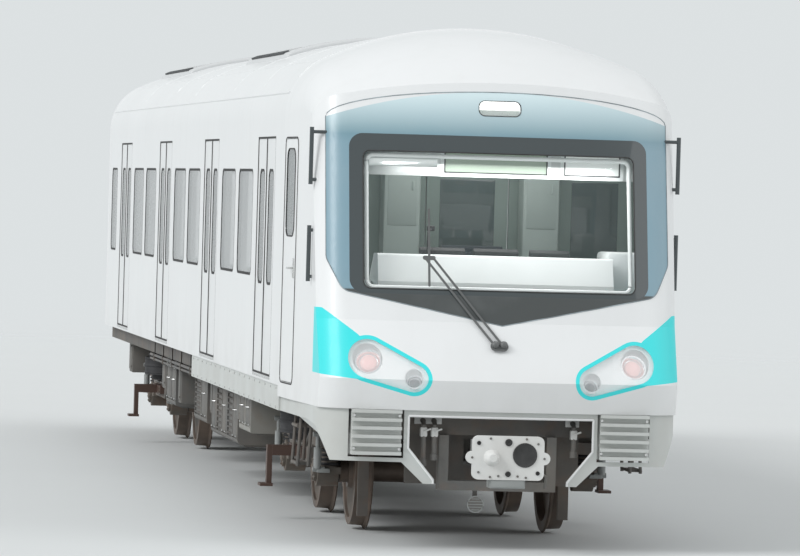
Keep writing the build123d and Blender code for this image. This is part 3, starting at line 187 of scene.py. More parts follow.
def painted(name, colour, roughness=0.32, coat=0.35, dust=0.35, dust_top=1.5, grime=(0.36, 0.33, 0.29)):
    """Sprayed paint with a faint orange peel, run-off streaks and dust that rises from the track."""
    f = Finish(name)
    broad = f.noise(0.7, 2.0)
    streaks = f.noise(5.0, 4.0, (1.0, 1.0, 0.12)).ramp(0.52, 0.8)
    low = 1.0 - f.axis("Z").ramp(0.5, dust_top)
    dirt = (low * f.noise(2.3, 5.0).ramp(0.3, 0.75) + streaks * 0.12) * dust
    tint = f.mix(colour, tuple(c * 0.93 for c in colour), broad)
    peel = f.noise(260.0, 1.0)
    return f.surface(
        Base_Color=f.mix(tint, grime, dirt),
        Roughness=dirt * 0.6 + (roughness + f.noise(9.0, 3.0) * 0.08),
        Coat_Weight=coat,
        Coat_Roughness=0.08,
        Normal=f.bump(peel, 0.05, 0.0004),
    )


def machinery(name, colour, rust=0.3, roughness=0.6, metal=0.0):
    """Primed or bare iron under the floor: brake dust, rust in patches and a cast grain."""
    f = Finish(name)
    patches = f.noise(7.0, 6.0).ramp(0.5, 0.72)
    dust = f.noise(2.0, 4.0).ramp(0.35, 0.8)
    rusty = f.mix(colour, (0.17, 0.085, 0.045), patches * rust)
    return f.surface(
        Base_Color=f.mix(rusty, (0.26, 0.22, 0.18), dust * 0.4),
        Roughness=(roughness + f.noise(30.0, 3.0) * 0.2).smallest(1.0),
        Metallic=(1.0 - patches) * metal,
        Normal=f.bump(f.noise(90.0, 4.0), 0.25, 0.002),
    )


def plastic(name, colour, roughness=0.4, grain=400.0, depth=0.0003, coat=0.0):
    """Moulded plastic or laminate with a fine grain."""
    f = Finish(name)
    tone = f.mix(colour, tuple(c * 0.9 for c in colour), f.noise(3.0, 3.0))
    return f.surface(
        Base_Color=tone,
        Roughness=roughness + f.noise(20.0, 2.0) * 0.08,
        Coat_Weight=coat,
        Normal=f.bump(f.noise(grain, 2.0), 0.2, depth),
    )


def clear_pane(name, colour, alpha, roughness=0.03, film=0.06):
    """Glass that lets the inside show, with a film of dust that gathers towards its edges."""
    f = Finish(name)
    dust = f.noise(1.6, 4.0).ramp(0.35, 0.8)
    return f.surface(
        Base_Color=colour,
        Roughness=dust * 0.05 + roughness,
        Alpha=dust * film + alpha,
        IOR=1.5,
        Coat_Weight=1.0,
        Coat_Roughness=0.02,
    )


def steel(name, colour=(0.62, 0.62, 0.61), roughness=0.25, stretch=(1.0, 1.0, 60.0)):
    """Bright metal, brushed along one way."""
    f = Finish(name)
    brushed = f.noise(40.0, 3.0, stretch)
    return f.surface(
        Base_Color=f.mix(colour, tuple(c * 0.8 for c in colour), brushed),
        Metallic=1.0,
        Roughness=brushed * 0.15 + roughness,
        Normal=f.bump(brushed, 0.06, 0.0004),
    )


def rubber(name, colour=(0.02, 0.02, 0.02), roughness=0.7):
    """Matt rubber with a paler bloom in patches."""
    f = Finish(name)
    bloom = f.noise(6.0, 4.0).ramp(0.4, 0.8)
    return f.surface(
        Base_Color=f.mix(colour, tuple(c * 2.2 + 0.02 for c in colour), bloom),
        Roughness=bloom * 0.15 + roughness,
        Normal=f.bump(f.noise(180.0, 3.0), 0.2, 0.0006),
    )


def lit(name, colour, strength, base=(0.8, 0.8, 0.8)):
    """A lamp's lens or light strip, faintly uneven, that glows."""
    f = Finish(name)
    uneven = f.noise(14.0, 2.0)
    return f.surface(
        Base_Color=f.mix(base, tuple(c * 0.9 for c in base), uneven),
        Emission_Color=f.mix(colour, tuple(c * 0.85 for c in colour), uneven),
        Emission_Strength=strength,
        Roughness=0.2,
    )


def display_glass(name):
    """Blank displays with a fine matrix of cells: grey-green in the middle, pale on the right."""
    f = Finish(name)
    right = f.axis("X").ramp(0.44, 0.46)
    cells = f.axis("X").rest(0.008).ramp(0.0055, 0.0065) + f.axis("Z").rest(0.008).ramp(0.0055, 0.0065)
    tone = f.mix((0.30, 0.37, 0.30), (0.80, 0.84, 0.82), right)
    return f.surface(
        Base_Color=f.mix(tone, (0.05, 0.06, 0.055), cells * 0.12),
        Emission_Color=tone,
        Emission_Strength=0.22,
        Roughness=0.25,
        Coat_Weight=0.4,
    )


def mask_paint(name, colours):
    """The glossy shield: slate blue, with black glass below the windscreen and a pale crown that is a
    painted reflection of the sky.
    """
    f = Finish(name)
    height = f.axis("Z")
    upper = height.ramp(level(1.838), level(1.846))
    # The pale crown is a painted reflection of the sky on the gloss, fading in towards the top
    crown = height.ramp(level(2.97), level(3.31)) ** 0.85
    band = height.ramp(level(2.90), level(3.02))
    blue = f.mix(tuple(colours.mask_side), tuple(colours.mask_band), band)
    blue = f.mix(blue, tuple(colours.mask_crown_reflection), crown)
    tone = f.mix(tuple(colours.mask_low), blue, upper)
    return f.surface(
        Base_Color=f.mix(tone, (0.5, 0.52, 0.52), f.noise(2.4, 5.0).ramp(0.5, 0.9) * 0.12),
        Roughness=f.noise(12.0, 3.0) * 0.06 + 0.26,
        Coat_Weight=0.35,
        Coat_Roughness=0.15,
        Normal=f.bump(f.noise(220.0, 1.0), 0.03, 0.0003),
    )


def wheel_steel(name):
    """Rolled steel: brown with patches of dust, and turned rings round the tread."""
    f = Finish(name)
    turned = f.noise(120.0, 2.0, (1.0, 0.02, 0.02))
    patches = f.noise(6.0, 5.0).ramp(0.35, 0.75)
    tone = f.mix((0.10, 0.078, 0.064), (0.19, 0.145, 0.115), patches)
    return f.surface(
        Base_Color=tone,
        Metallic=0.35,
        Roughness=patches * 0.25 + 0.45,
        Normal=f.bump(turned, 0.12, 0.001),
    )


def woven(name, colour, thread=900.0):
    """Woven cloth with this many threads in a metre."""
    f = Finish(name)
    across = f.axis("X").rest(1.0 / thread) * thread
    along = (f.axis("Y") + f.axis("Z")).rest(1.0 / thread) * thread
    weave = (across - 0.5).size() + (along - 0.5).size()
    return f.surface(
        Base_Color=f.mix(colour, tuple(c * 1.5 for c in colour), weave * 0.5),
        Roughness=0.9,
        Sheen_Weight=0.3,
        Normal=f.bump(weave, 0.4, 0.0004),
    )


def bellows_skin(name):
    """Coated cloth of the gangway, with dust lying in its folds."""
    f = Finish(name)
    dust = f.noise(4.0, 5.0).ramp(0.4, 0.8)
    fine = f.noise(500.0, 2.0)
    return f.surface(
        Base_Color=f.mix((0.055, 0.057, 0.06), (0.16, 0.155, 0.15), dust),
        Roughness=dust * 0.15 + 0.75,
        Normal=f.bump(fine, 0.3, 0.0006),
    )


# Geometry helpers


def circle(centre, radius, count=32, start=0.0):
    """Points round a circle, from a start angle."""
    cx, cz = centre
    angles = [start + i * (2 * pi / count) for i in range(count)]
    return [(cx + radius * cos(a), cz + radius * sin(a)) for a in angles]


def rounded(width, height, radius, centre=(0.0, 0.0), steps=6):
    """Loop of a rectangle with round corners, anticlockwise."""
    points = []
    for k, (sx, sz) in enumerate(((1, 1), (-1, 1), (-1, -1), (1, -1))):
        mx = centre[0] + sx * (width / 2 - radius)
        mz = centre[1] + sz * (height / 2 - radius)
        for i in range(steps + 1):
            angle = (k + i / steps) * pi / 2
            points.append((mx + radius * cos(angle), mz + radius * sin(angle)))
    return points


def eased(corners, radii, steps=6):
    """A loop through the corners, each rounded by its own radius."""
    points = []
    count = len(corners)
    for i, radius in enumerate(radii):
        here = Vector(corners[i])
        before = (Vector(corners[i - 1]) - here).normalized()
        after = (Vector(corners[(i + 1) % count]) - here).normalized()
        if not radius:
            points.append(tuple(here))
            continue
        half = before.angle(after) / 2
        reach = radius / tan(half)
        middle = here + (before + after).normalized() * (radius / sin(half))
        first = here + before * reach - middle
        turn = first.angle_signed(here + after * reach - middle)
        for k in range(steps + 1):
            points.append(tuple(middle + Matrix.Rotation(-turn * k / steps, 2) @ first))
    return points


def spread(loop, step):
    """The loop with more points, none further apart than a step."""
    points = []
    for (u, v), (next_u, next_v) in zip(loop, loop[1:] + loop[:1]):
        du, dv = next_u - u, next_v - v
        count = max(1, round(hypot(du, dv) / step))
        points += [(u + du * k / count, v + dv * k / count) for k in range(count)]
    return points


# Finishes by their short names; the first operator fills it
library = {}


class Forms:
    """Collects the solids of one piece in one mesh."""

    def __init__(self):
        self.bm = bmesh.new()

    def block(self, centre, size, bevel=0.0, steps=2, turn=None):
        """A box, whose edges are rounded where it has a bevel."""
        matrix = Matrix.Translation(centre) @ (turn or Matrix()) @ Matrix.Diagonal((*size, 1.0))
        made = bmesh.ops.create_cube(self.bm, size=1.0, matrix=matrix)["verts"]
        if bevel:
            edges = list(dict.fromkeys(e for v in made for e in v.link_edges))
            bmesh.ops.bevel(self.bm, geom=edges, offset=bevel, segments=steps, profile=0.5, affect="EDGES")

    def rod(self, start, end, radius, sides=16):
        """A straight round bar."""
        start, end = Vector(start), Vector(end)
        run = end - start
        turn = run.to_track_quat("Z", "Y").to_matrix().to_4x4()
        bmesh.ops.create_cone(
            self.bm,
            cap_ends=True,
            segments=sides,
            radius1=radius,
            radius2=radius,
            depth=run.length,
            matrix=Matrix.Translation((start + end) / 2) @ turn,
        )

    def tube(self, points, radius, sides=8, closed=False):
        """A round bar along a path."""
        points = [Vector(p) for p in points]
        rings = []
        count = len(points)
        up = Vector((0.0, 0.0, 1.0))
        for i, here in enumerate(points):
            before = points[i - 1] if closed or i else here
            after = points[(i + 1) % count] if closed or i < count - 1 else here
            run = (after - before).normalized()
            side = run.cross(up if abs(run.z) < 0.95 else Vector((1.0, 0.0, 0.0))).normalized()
            rise = side.cross(run)
            rings.append([
                self.bm.verts.new(here + (side * cos(a) + rise * sin(a)) * radius)
                for a in (2 * pi * k / sides for k in range(sides))
            ])
        self._bridge(rings, closed)
        if not closed:
            self.bm.faces.new(reversed(rings[0]))
            self.bm.faces.new(rings[-1])

    def _bridge(self, rings, closed):
        sides = len(rings[0])
        for i in range(len(rings) if closed else len(rings) - 1):
            a, b = rings[i], rings[(i + 1) % len(rings)]
            for k in range(sides):
                self.bm.faces.new((a[k], a[(k + 1) % sides], b[(k + 1) % sides], b[k]))

    def ring(self, outer, inner, near, far, place):
        """A flat frame between two loops with as many points, from one depth to another."""
        quads = [(outer, near), (outer, far), (inner, far), (inner, near)]
        rings = [[self.bm.verts.new(place(u, v, depth)) for u, v in loop] for loop, depth in quads]
        self._bridge(rings, True)

    def lathe(self, profile, centre, turn=None, sides=32):
        """A body of revolution about its own Z: the profile is radius and height."""
        matrix = Matrix.Translation(centre) @ (turn or Matrix())
        rings = []
        for radius, height in profile:
            rings.append([
                self.bm.verts.new(matrix @ Vector((radius * cos(a), radius * sin(a), height)))
                for a in (2 * pi * k / sides for k in range(sides))
            ])
        self._bridge(rings, False)
        self.bm.faces.new(rings[0])
        self.bm.faces.new(rings[-1])

    def pad(self, matrix, width, length, rise, channels):
        """A crowned pad over the matrix's XY plane: its sides pull in, and sewn lines cross it."""
        columns, rows = 24, 12 * channels
        sheets = []
        for top in (True, False):
            grid = []
            for j in range(rows + 1):
                v = 2 * j / rows - 1
                sewn = abs(sin(pi * channels * (v + 1) / 2)) ** 0.5
                for i in range(columns + 1):
                    u = 2 * i / columns - 1
                    crown = ((1 - u**6) * (1 - v**6)) ** 0.5
                    height = rise * crown * (0.4 + 0.6 * sewn) if top else -rise
                    flat = (u * width / 2 * (0.97 + 0.03 * v * v), v * length / 2 * (0.97 + 0.03 * u * u))
                    grid.append(self.bm.verts.new(matrix @ Vector((*flat, height))))
            sheets.append(grid)
            for j in range(rows):
                for i in range(columns):
                    a, b = j * (columns + 1) + i, (j + 1) * (columns + 1) + i
                    self.bm.faces.new((grid[a], grid[a + 1], grid[b + 1], grid[b]))
        step = columns + 1
        rim = list(range(columns)) + [columns + step * j for j in range(rows)]
        rim += [rows * step + columns - i for i in range(columns)]
        rim += [step * (rows - j) for j in range(rows)]
        for a, b in zip(rim, rim[1:] + rim[:1]):
            self.bm.faces.new((sheets[0][a], sheets[0][b], sheets[1][b], sheets[1][a]))

    def flip(self):
        """Moves all that is there to the car's other side."""
        for vert in self.bm.verts:
            vert.co.x = -vert.co.x
        return self

    def copy_across(self):
        """Mirrors all that is there to the car's other side."""
        geometry = self.bm.verts[:] + self.bm.edges[:] + self.bm.faces[:]
        made = bmesh.ops.duplicate(self.bm, geom=geometry)["geom"]
        for vert in (g for g in made if isinstance(g, bmesh.types.BMVert)):
            vert.co.x = -vert.co.x
        return self

    def piece(self, name, finish, body="carbody", slot=None, smooth=40.0):
        """Turns what is there into an object that has a finish of the library and rides on a body."""
        bmesh.ops.recalc_face_normals(self.bm, faces=self.bm.faces[:])
        mesh = bpy.data.meshes.new(name)
        self.bm.to_mesh(mesh)
        self.bm.free()
        mesh.materials.append(library[finish])
        mesh.polygons.foreach_set("use_smooth", [True] * len(mesh.polygons))
        mesh.set_sharp_from_angle(angle=radians(smooth))
        made = bpy.data.objects.new(name, mesh)
        bpy.context.scene.collection.objects.link(made)
        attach(made, body)
        return made


def right_side(u, v, depth):
    """A point on the right side: u along the car, v up, depth inwards from the body's side plane."""
    return (HALF_WIDTH - depth, u, v)


def facing_front(u, v, depth):
    """A point seen from the front: u across, v up, depth is its Y."""
    return (u, depth, v)


class Skin:
    """The outer surface of some solids, found by looking at it along FORE, INWARD or DOWN."""

    # A look starts this far ahead of the nose, or at this height over the car
    ahead, above = 1.0, 5.0

    def __init__(self, nodes, look):
        self.look = look
        verts, faces = [], []
        for name in nodes:
            mesh = frame["nodes"][name].data
            first = len(verts)
            verts += [v.co.copy() for v in mesh.vertices]
            faces += [[first + i for i in p.vertices] for p in mesh.polygons]
        self.tree = BVHTree.FromPolygons(verts, faces)

    def _hit(self, u, v):
        if self.look.y:
            start = (u, NOSE_Y - self.ahead, v)
        elif self.look.x:
            start = (2 * HALF_WIDTH, u, v)
        else:
            start = (u, v, self.above)
        spot, normal, _, _ = self.tree.ray_cast(Vector(start), self.look)
        if spot is None:
            raise RuntimeError(f"nothing of the surface lies behind {u:.3f}, {v:.3f}")
        return spot, (-normal if normal.dot(self.look) > 0 else normal)

    def at(self, u, v, lift=0.0):
        spot, normal = self._hit(u, v)
        return spot + normal * lift

    def seat(self, u, v, lift=0.0):
        """A point over the surface, and a turn that sets a piece's own Z along the normal there."""
        spot, normal = self._hit(u, v)
        return spot + normal * lift, normal.to_track_quat("Z", "Y").to_matrix().to_4x4()


# What a user would change


def tint(name, description, value):
    return FloatVectorProperty(name=name, description=description, subtype="COLOR", default=value)


def length(name, description, value):
    return FloatProperty(name=name, description=description, unit="LENGTH", default=value)


class MetroColours(bpy.types.PropertyGroup):
    """Colours of the finishes, and of the pale painted sky reflection on the mask's crown, as linear values.
    """

    body: tint("Body", "Body paint", (0.80, 0.815, 0.82))
    door: tint("Doors", "Paint of the door leaves", (0.77, 0.785, 0.79))
    mask_side: tint("Mask sides", "Slate blue beside the windscreen", (0.205, 0.335, 0.405))
    mask_band: tint("Mask band", "Band above the windscreen", (0.15, 0.28, 0.335))
    # Pale top edge of the mask: a painted reflection of the sky
    mask_crown_reflection: tint("Mask crown", "Pale top edge of the mask", (0.72, 0.86, 0.89))
    mask_low: tint("Mask foot", "Black glass below the windscreen", (0.055, 0.062, 0.062))
    border: tint("Border", "Black edge of the windscreen", (0.035, 0.048, 0.052))
    lamp: tint("Lamp surround", "Turquoise round the headlamps", (0.035, 0.74, 0.76))
    skirt: tint("Skirts", "Grey of the valance and skirts", (0.56, 0.585, 0.57))
    under: tint("Underframe", "Dark paint below the floor", (0.095, 0.092, 0.088))


class MetroSizes(bpy.types.PropertyGroup):
    """Sizes that repeat the frame's openings, and those of the fittings."""

    first_door: length("First door", "Nose to the first doorway's middle", 3.55)
    door_pitch: length("Door pitch", "Between doorways", 4.5)
    door_count: IntProperty(name="Doorways", description="Doorways on each side", default=4)
    door_width: length("Door width", "Width of a doorway", 1.3)
    door_height: length("Door height", "Height of a doorway", 1.85)
    floor: length("Floor", "Floor above the rail", 1.1)
    window_width: length("Window width", "Width of a window", 1.15)
    window_height: length("Window height", "Height of a window", 0.85)
    window_bottom: length("Window sill", "Window's lower edge above the rail", 1.85)
    window_post: length("Window post", "Post between two windows", 0.25)
    leaf_window_width: length("Leaf window width", "Width of a door leaf's window", 0.38)
    leaf_window_height: length("Leaf window height", "Height of a door leaf's window", 0.9)
    leaf_window_level: length("Leaf window level", "Middle of a leaf's window above the rail", 2.25)
    leaf_recess: length("Leaf recess", "Door leaves lie this far inside the wall's face", 0.005)
    corner: length("Corner", "Radius of a window's corners", 0.09)
    seal: length("Seal", "Width of a rubber seal", 0.022)
    bead: length("Bead", "Radius of the hood's sealing beads", 0.005)


class MetroStage(bpy.types.PropertyGroup):
    """Floor, background, light and camera."""

    floor: tint("Floor", "Floor colour", (0.66, 0.68, 0.68))
    background: tint("Background", "What the camera sees behind", (0.72, 0.755, 0.765))
    sky: FloatProperty(name="Sky", description="Strength of the light from all sides", default=0.67)
    sun: FloatProperty(name="Sun", description="Strength of the main lamp", default=1.7)
    cab: FloatProperty(name="Cab lamp", description="Power of the lamps in the cab, in watts", default=18.0)
    lens: FloatProperty(name="Lens", description="Focal length in millimetres", default=261.0)


END_WINDOW_WIDTH = 0.7


def door_centres(sizes):
    """Middle of each doorway, from the nose."""
    return [sizes.first_door + i * sizes.door_pitch for i in range(sizes.door_count)]


def window_places(sizes):
    """Middle, from the nose, and width of each side window."""
    centres = door_centres(sizes)
    shift = (sizes.window_width + sizes.window_post) / 2
    pairs = zip(centres, centres[1:])
    places = [((a + b) / 2 + side * shift, sizes.window_width) for a, b in pairs for side in (-1, 1)]
    last = (centres[-1] + sizes.door_width / 2 + REAR_Y - NOSE_Y) / 2
    return places + [(last, END_WINDOW_WIDTH)]


class CarOperator(bpy.types.Operator):
    """What the operators share."""

    bl_options = {"REGISTER"}

    def execute(self, context):
        scene = context.scene
        self.make(scene.metro_colours, scene.metro_sizes)
        return {"FINISHED"}


class METRO_OT_finishes(CarOperator):
    """Make the finishes and give each solid of the frame its own"""

    bl_idname = "metro.finishes"
    bl_label = "Finishes"

    # The finish of each slot, and of nodes that have their own
    slots = {
        "body_white": "body", "door_white": "door", "mask_slate": "mask", "border_black": "border",
        "windscreen_glass": "screen", "side_glass": "pane", "lamp_turquoise": "lamp",
        "lamp_lens": "lens", "lamp_bowl": "bowl", "skirt_grey": "skirt", "underframe_grey": "under",
        "equipment_grey": "case", "battery_pale": "battery", "reservoir_grey": "tank",
        "wheel_steel": "wheel", "bogie_paint": "bogie", "axle_box_iron": "iron",
        "brake_iron": "brake", "spring_rubber": "spring", "collector_brown": "collector",
        "coupler_white": "coupler", "coupler_steel": "drawbar", "bellows_rubber": "bellows",
        "unit_grey": "unit", "lining_white": "lining", "console_white": "console",
        "display_panel": "display", "seat_shell": "seat", "driver_fabric": "cloth",
        "pole_steel": "pole", "wiper_black": "wiper",
    }
    own = {"cab_partition": "partition", "partition_door": "partition"}

    def make(self, colours, sizes):
        self.fill_library(colours)
        for part in frame["record"]["subparts"]:
            finish = self.own.get(part["node"], self.slots[part["material_slot"]])
            node = frame["nodes"][part["node"]]
            node.data.materials.clear()
            node.data.materials.append(library[finish])

    def fill_library(self, colours):
        library.update(
            body=painted("body_paint", tuple(colours.body)),
            door=painted("door_paint", tuple(colours.door), roughness=0.28),
            mask=mask_paint("mask_gloss", colours),
            border=plastic("border_black", tuple(colours.border), 0.12, coat=1.0),
            screen=clear_pane("windscreen_clear", (0.36, 0.44, 0.43), 0.04, film=0.03),
            pane=clear_pane("side_pane", (0.10, 0.125, 0.13), 0.62),
            lamp=painted("lamp_turquoise", tuple(colours.lamp), 0.38, 0.12, dust=0.1),
            lens=clear_pane("lamp_lens", (0.95, 0.97, 0.98), 0.20),
            skirt=painted("skirt_grey", tuple(colours.skirt), 0.42, 0.1, dust=0.4),
            under=machinery("underframe_dark", tuple(colours.under)),
            case=machinery("equipment_case", (0.115, 0.115, 0.11), rust=0.15, roughness=0.5),
            battery=machinery("battery_case", (0.27, 0.27, 0.25), rust=0.25, roughness=0.5),
            tank=machinery("reservoir_paint", (0.10, 0.10, 0.10), rust=0.2, roughness=0.45),
            wheel=wheel_steel("wheel_rolled"),
            bogie=machinery("bogie_paint", (0.10, 0.092, 0.085), rust=0.35),
            iron=machinery("axle_box_cast", (0.12, 0.105, 0.09), rust=0.6, roughness=0.65),
            brake=machinery("brake_cast", (0.09, 0.075, 0.065), rust=0.8, roughness=0.7),
            spring=rubber("air_spring_rubber", (0.022, 0.022, 0.024)),
            collector=plastic("collector_brown", (0.085, 0.05, 0.038), 0.5),
            coupler=painted("coupler_white", (0.74, 0.75, 0.74), 0.45, 0.1, dust=0.5, dust_top=2.4),
            drawbar=machinery("drawbar_steel", (0.16, 0.16, 0.155), rust=0.35, metal=0.4),
            bellows=bellows_skin("bellows_cloth"),
            unit=painted("unit_grey", (0.62, 0.635, 0.64), 0.45, 0.0, dust=0.2),
            lining=plastic("lining_white", (0.66, 0.69, 0.68), 0.35),
            console=plastic("console_moulded", (0.84, 0.88, 0.87), 0.45, coat=0.1),
            display=display_glass("display_panel"),
            seat=plastic("seat_shell", (0.055, 0.30, 0.34), 0.3, coat=0.4),
            cloth=woven("driver_cloth", (0.03, 0.036, 0.045)),
            pole=steel("pole_brushed"),
            black=plastic("black_moulded", (0.025, 0.025, 0.027), 0.45),
            wiper=plastic("wiper_grey", (0.12, 0.125, 0.125), 0.4),
            partition=plastic("partition_laminate", (0.27, 0.33, 0.30), 0.4, 60.0, 0.0002),
            cabinet=plastic("cabinet_laminate", (0.40, 0.46, 0.43), 0.4, 60.0, 0.0002),
            seal=rubber("seal_rubber"),
            pale_seal=rubber("pale_seal_rubber", (0.20, 0.235, 0.25)),
            bright=steel("bright_trim", (0.75, 0.75, 0.74), 0.18),
            silver=steel("lamp_dish", (0.88, 0.89, 0.90), 0.10),
            bowl=plastic("lamp_bowl_white", (0.93, 0.94, 0.94), 0.3, coat=0.3),
            head_glass=plastic("head_lamp_glass", (0.09, 0.10, 0.105), 0.10, coat=0.6),
            screen_glow=lit("cab_screen", (0.25, 0.4, 0.42), 0.5, (0.05, 0.07, 0.08)),
            light=lit("light_strip", (1.0, 1.0, 0.97), 2.4),
            red_lamp=lit("red_lamp", (0.95, 0.5, 0.47), 0.25, (0.80, 0.52, 0.50)),
            grey=plastic("grey_moulded", (0.30, 0.315, 0.31), 0.5),
            louvre=plastic("louvre_dark", (0.07, 0.075, 0.078), 0.6),
            floor=plastic("floor_covering", (0.19, 0.20, 0.205), 0.55, 700.0, 0.0006),
        )


class METRO_OT_front_trim(CarOperator):
    """Lay the sealing beads round the mask, the windscreen and the lamps"""

    bl_idname = "metro.front_trim"
    bl_label = "Front trim"

    # The mask's outline: half widths, and heights above the rail
    half_width, knee_half_width = 1.262, 1.15
    shoulder, waist, knee, foot = 3.09, 2.06, 1.83, 1.6
    crown_rise, corner, arc_steps = 0.21, 0.11, 24
    marker_level = 3.18

    def mask_outline(self):
        side, knee_side = self.half_width, self.knee_half_width
        steps, corner = self.arc_steps, self.corner
        low, high, knee = level(self.waist), level(self.shoulder), level(self.knee)
        turns = [pi * k / steps for k in range(1, steps)]
        crown = [(side * cos(a), high + self.crown_rise * sin(a)) for a in turns]
        corners = [(side, high), *crown, (-side, high), (-side, low), (-knee_side, knee)]
        corners += [(0.0, level(self.foot)), (knee_side, knee), (side, low)]
        radii = [0.0] * (steps + 1) + [corner, corner, 0.0, corner, corner]
        return eased(corners, radii)

    def make(self, colours, sizes):
        skin = Skin(HOOD_NODES, FORE)
        screen = rounded(2.0, 1.0, 0.05, (0.0, level(SCREEN_LEVEL)))
        marker = rounded(0.31, 0.11, 0.044, (0.0, level(self.marker_level)))
        loops = (
            ("mask_bead", self.mask_outline(), 0.8, "pale_seal"),
            ("windscreen_bead", screen, 1.0, "seal"),
            ("marker_bead", marker, 0.7, "seal"),
        )
        for name, loop, share, finish in loops:
            bead = Forms()
            bead.tube([skin.at(x, z) for x, z in spread(loop, 0.04)], sizes.bead * share, 6, closed=True)
            bead.piece(name, finish, slot="border_black")


class METRO_OT_headlamps(CarOperator):
    """Set two lamps in the bowl behind each headlamp lens"""

    bl_idname = "metro.headlamps"
    bl_label = "Headlamps"

    # X, height above the rail and radius of the outer and the inner lamp
    outer_lamp = (0.98, 1.343, 0.096)
    inner_lamp = (0.65, 1.210, 0.058)
    well_floor = 0.096
    dish = ((0.01, -0.5), (0.5, -0.5), (1.0, -0.25), (1.0, 0.04), (0.9, 0.04), (0.72, -0.2), (0.02, -0.36))
    dome = ((0.02, -0.4), (0.62, -0.28), (0.62, -0.12), (0.5, -0.02), (0.26, 0.06), (0.02, 0.08))

    def make(self, colours, sizes):
        skin = Skin(HOOD_NODES, FORE)
        dishes, outer, inner = Forms(), Forms(), Forms()
        for (x, z, radius), glass in ((self.outer_lamp, outer), (self.inner_lamp, inner)):
            spot, turn = skin.seat(x, level(z), 0.5 * radius - self.well_floor)
            dishes.lathe([(radius * r, radius * h) for r, h in self.dish], spot, turn, 40)
            glass.lathe([(radius * r, radius * h) for r, h in self.dome], spot, turn, 32)
        for forms in (dishes, outer, inner):
            forms.copy_across()
        dishes.piece("lamp_dishes", "silver", slot="lamp_bowl")
        outer.piece("tail_lamps", "red_lamp", slot="lamp_lens")
        inner.piece("head_lamps", "head_glass", slot="lamp_lens")


class METRO_OT_front_fittings(CarOperator):
    """Fit the wiper's caps and rubber, the pipe ends, the valance's edge strips and the climbers' bolts"""

    bl_idname = "metro.front_fittings"
    bl_label = "Front fittings"

    # X and height above the rail of the valance's lower opening, then its front and the radius of its plan
    opening = ((-0.49, 0.452), (-0.49, 0.48), (-0.675, 0.705), (-0.675, 0.938))
    sheet_front, sheet_radius = 0.082, 4.875
    strip_radius = 0.009
    # Behind the nose: the pipe ends, the face of the end beam and the face of the anti-climbers
    pipe_plane, beam_plane, climber_plane = 0.24, 0.318, 0.15
    pipe_ends = ((-0.55, 0.62), (-0.47, 0.66), (0.55, 0.70))

    def valance(self, x, z):
        sag = self.sheet_radius - (self.sheet_radius**2 - x * x) ** 0.5
        return Vector((x, station(self.sheet_front) + sag, level(z)))

    def make(self, colours, sizes):
        skin = Skin(HOOD_NODES, FORE)
        strips = Forms()
        strips.tube([self.valance(x, z) for x, z in self.opening], self.strip_radius, 8)
        strips.copy_across()
        side, top = self.opening[-1]
        strips.tube([self.valance(-side * k / 20, top) for k in range(-20, 21)], self.strip_radius, 8)
        strips.piece("valance_edges", "body", slot="body_white")

        caps = Forms()
        profile = ((0.028, -0.004), (0.028, 0.012), (0.02, 0.022), (0.002, 0.026))
        for x in (0.0, -0.06):
            spot, turn = skin.seat(x, level(1.455), 0.022)
            caps.lathe(profile, spot, turn, 20)
        caps.tube([skin.at(-0.53, level(1.89 + 0.09 * k), 0.008) for k in range(7)], 0.006, 6)
        caps.piece("wiper_caps", "wiper", slot="wiper_black")

        ends, cocks = Forms(), Forms()
        for x, low in self.pipe_ends:
            y = station(self.pipe_plane)
            path = ((0.095, 0.90), (0.03, 0.90), (0.0, 0.87), (-0.005, low + 0.02), (0.0, low))
            ends.tube([(x, y + back, level(z)) for back, z in path], 0.019, 12)
            ends.rod((x, y, level(low)), (x, y - 0.005, level(low - 0.045)), 0.026, 12)
            cocks.block((x, y + 0.006, level(0.82)), (0.05, 0.055, 0.07), 0.008)
            cocks.rod((x, y - 0.02, level(0.825)), (x + 0.05, y - 0.035, level(0.845)), 0.007, 8)
        cocks.block(point(-0.51, self.beam_plane, 0.90), (0.2, 0.03, 0.05), 0.004)
        cocks.block(point(0.55, self.beam_plane, 0.90), (0.1, 0.03, 0.05), 0.004)
        ends.piece("brake_pipe_ends", "drawbar", slot="coupler_steel")
        cocks.piece("pipe_cocks", "coupler", slot="coupler_white")

        bolts = Forms()
        for x, z in ((0.74, 0.935), (1.07, 0.935), (0.74, 0.695), (1.07, 0.695)):
            bolts.rod(point(x, self.climber_plane, z), point(x, 0.138, z), 0.011, 6)
        bolts.copy_across()
        bolts.piece("climber_bolts", "bright", slot="skirt_grey")


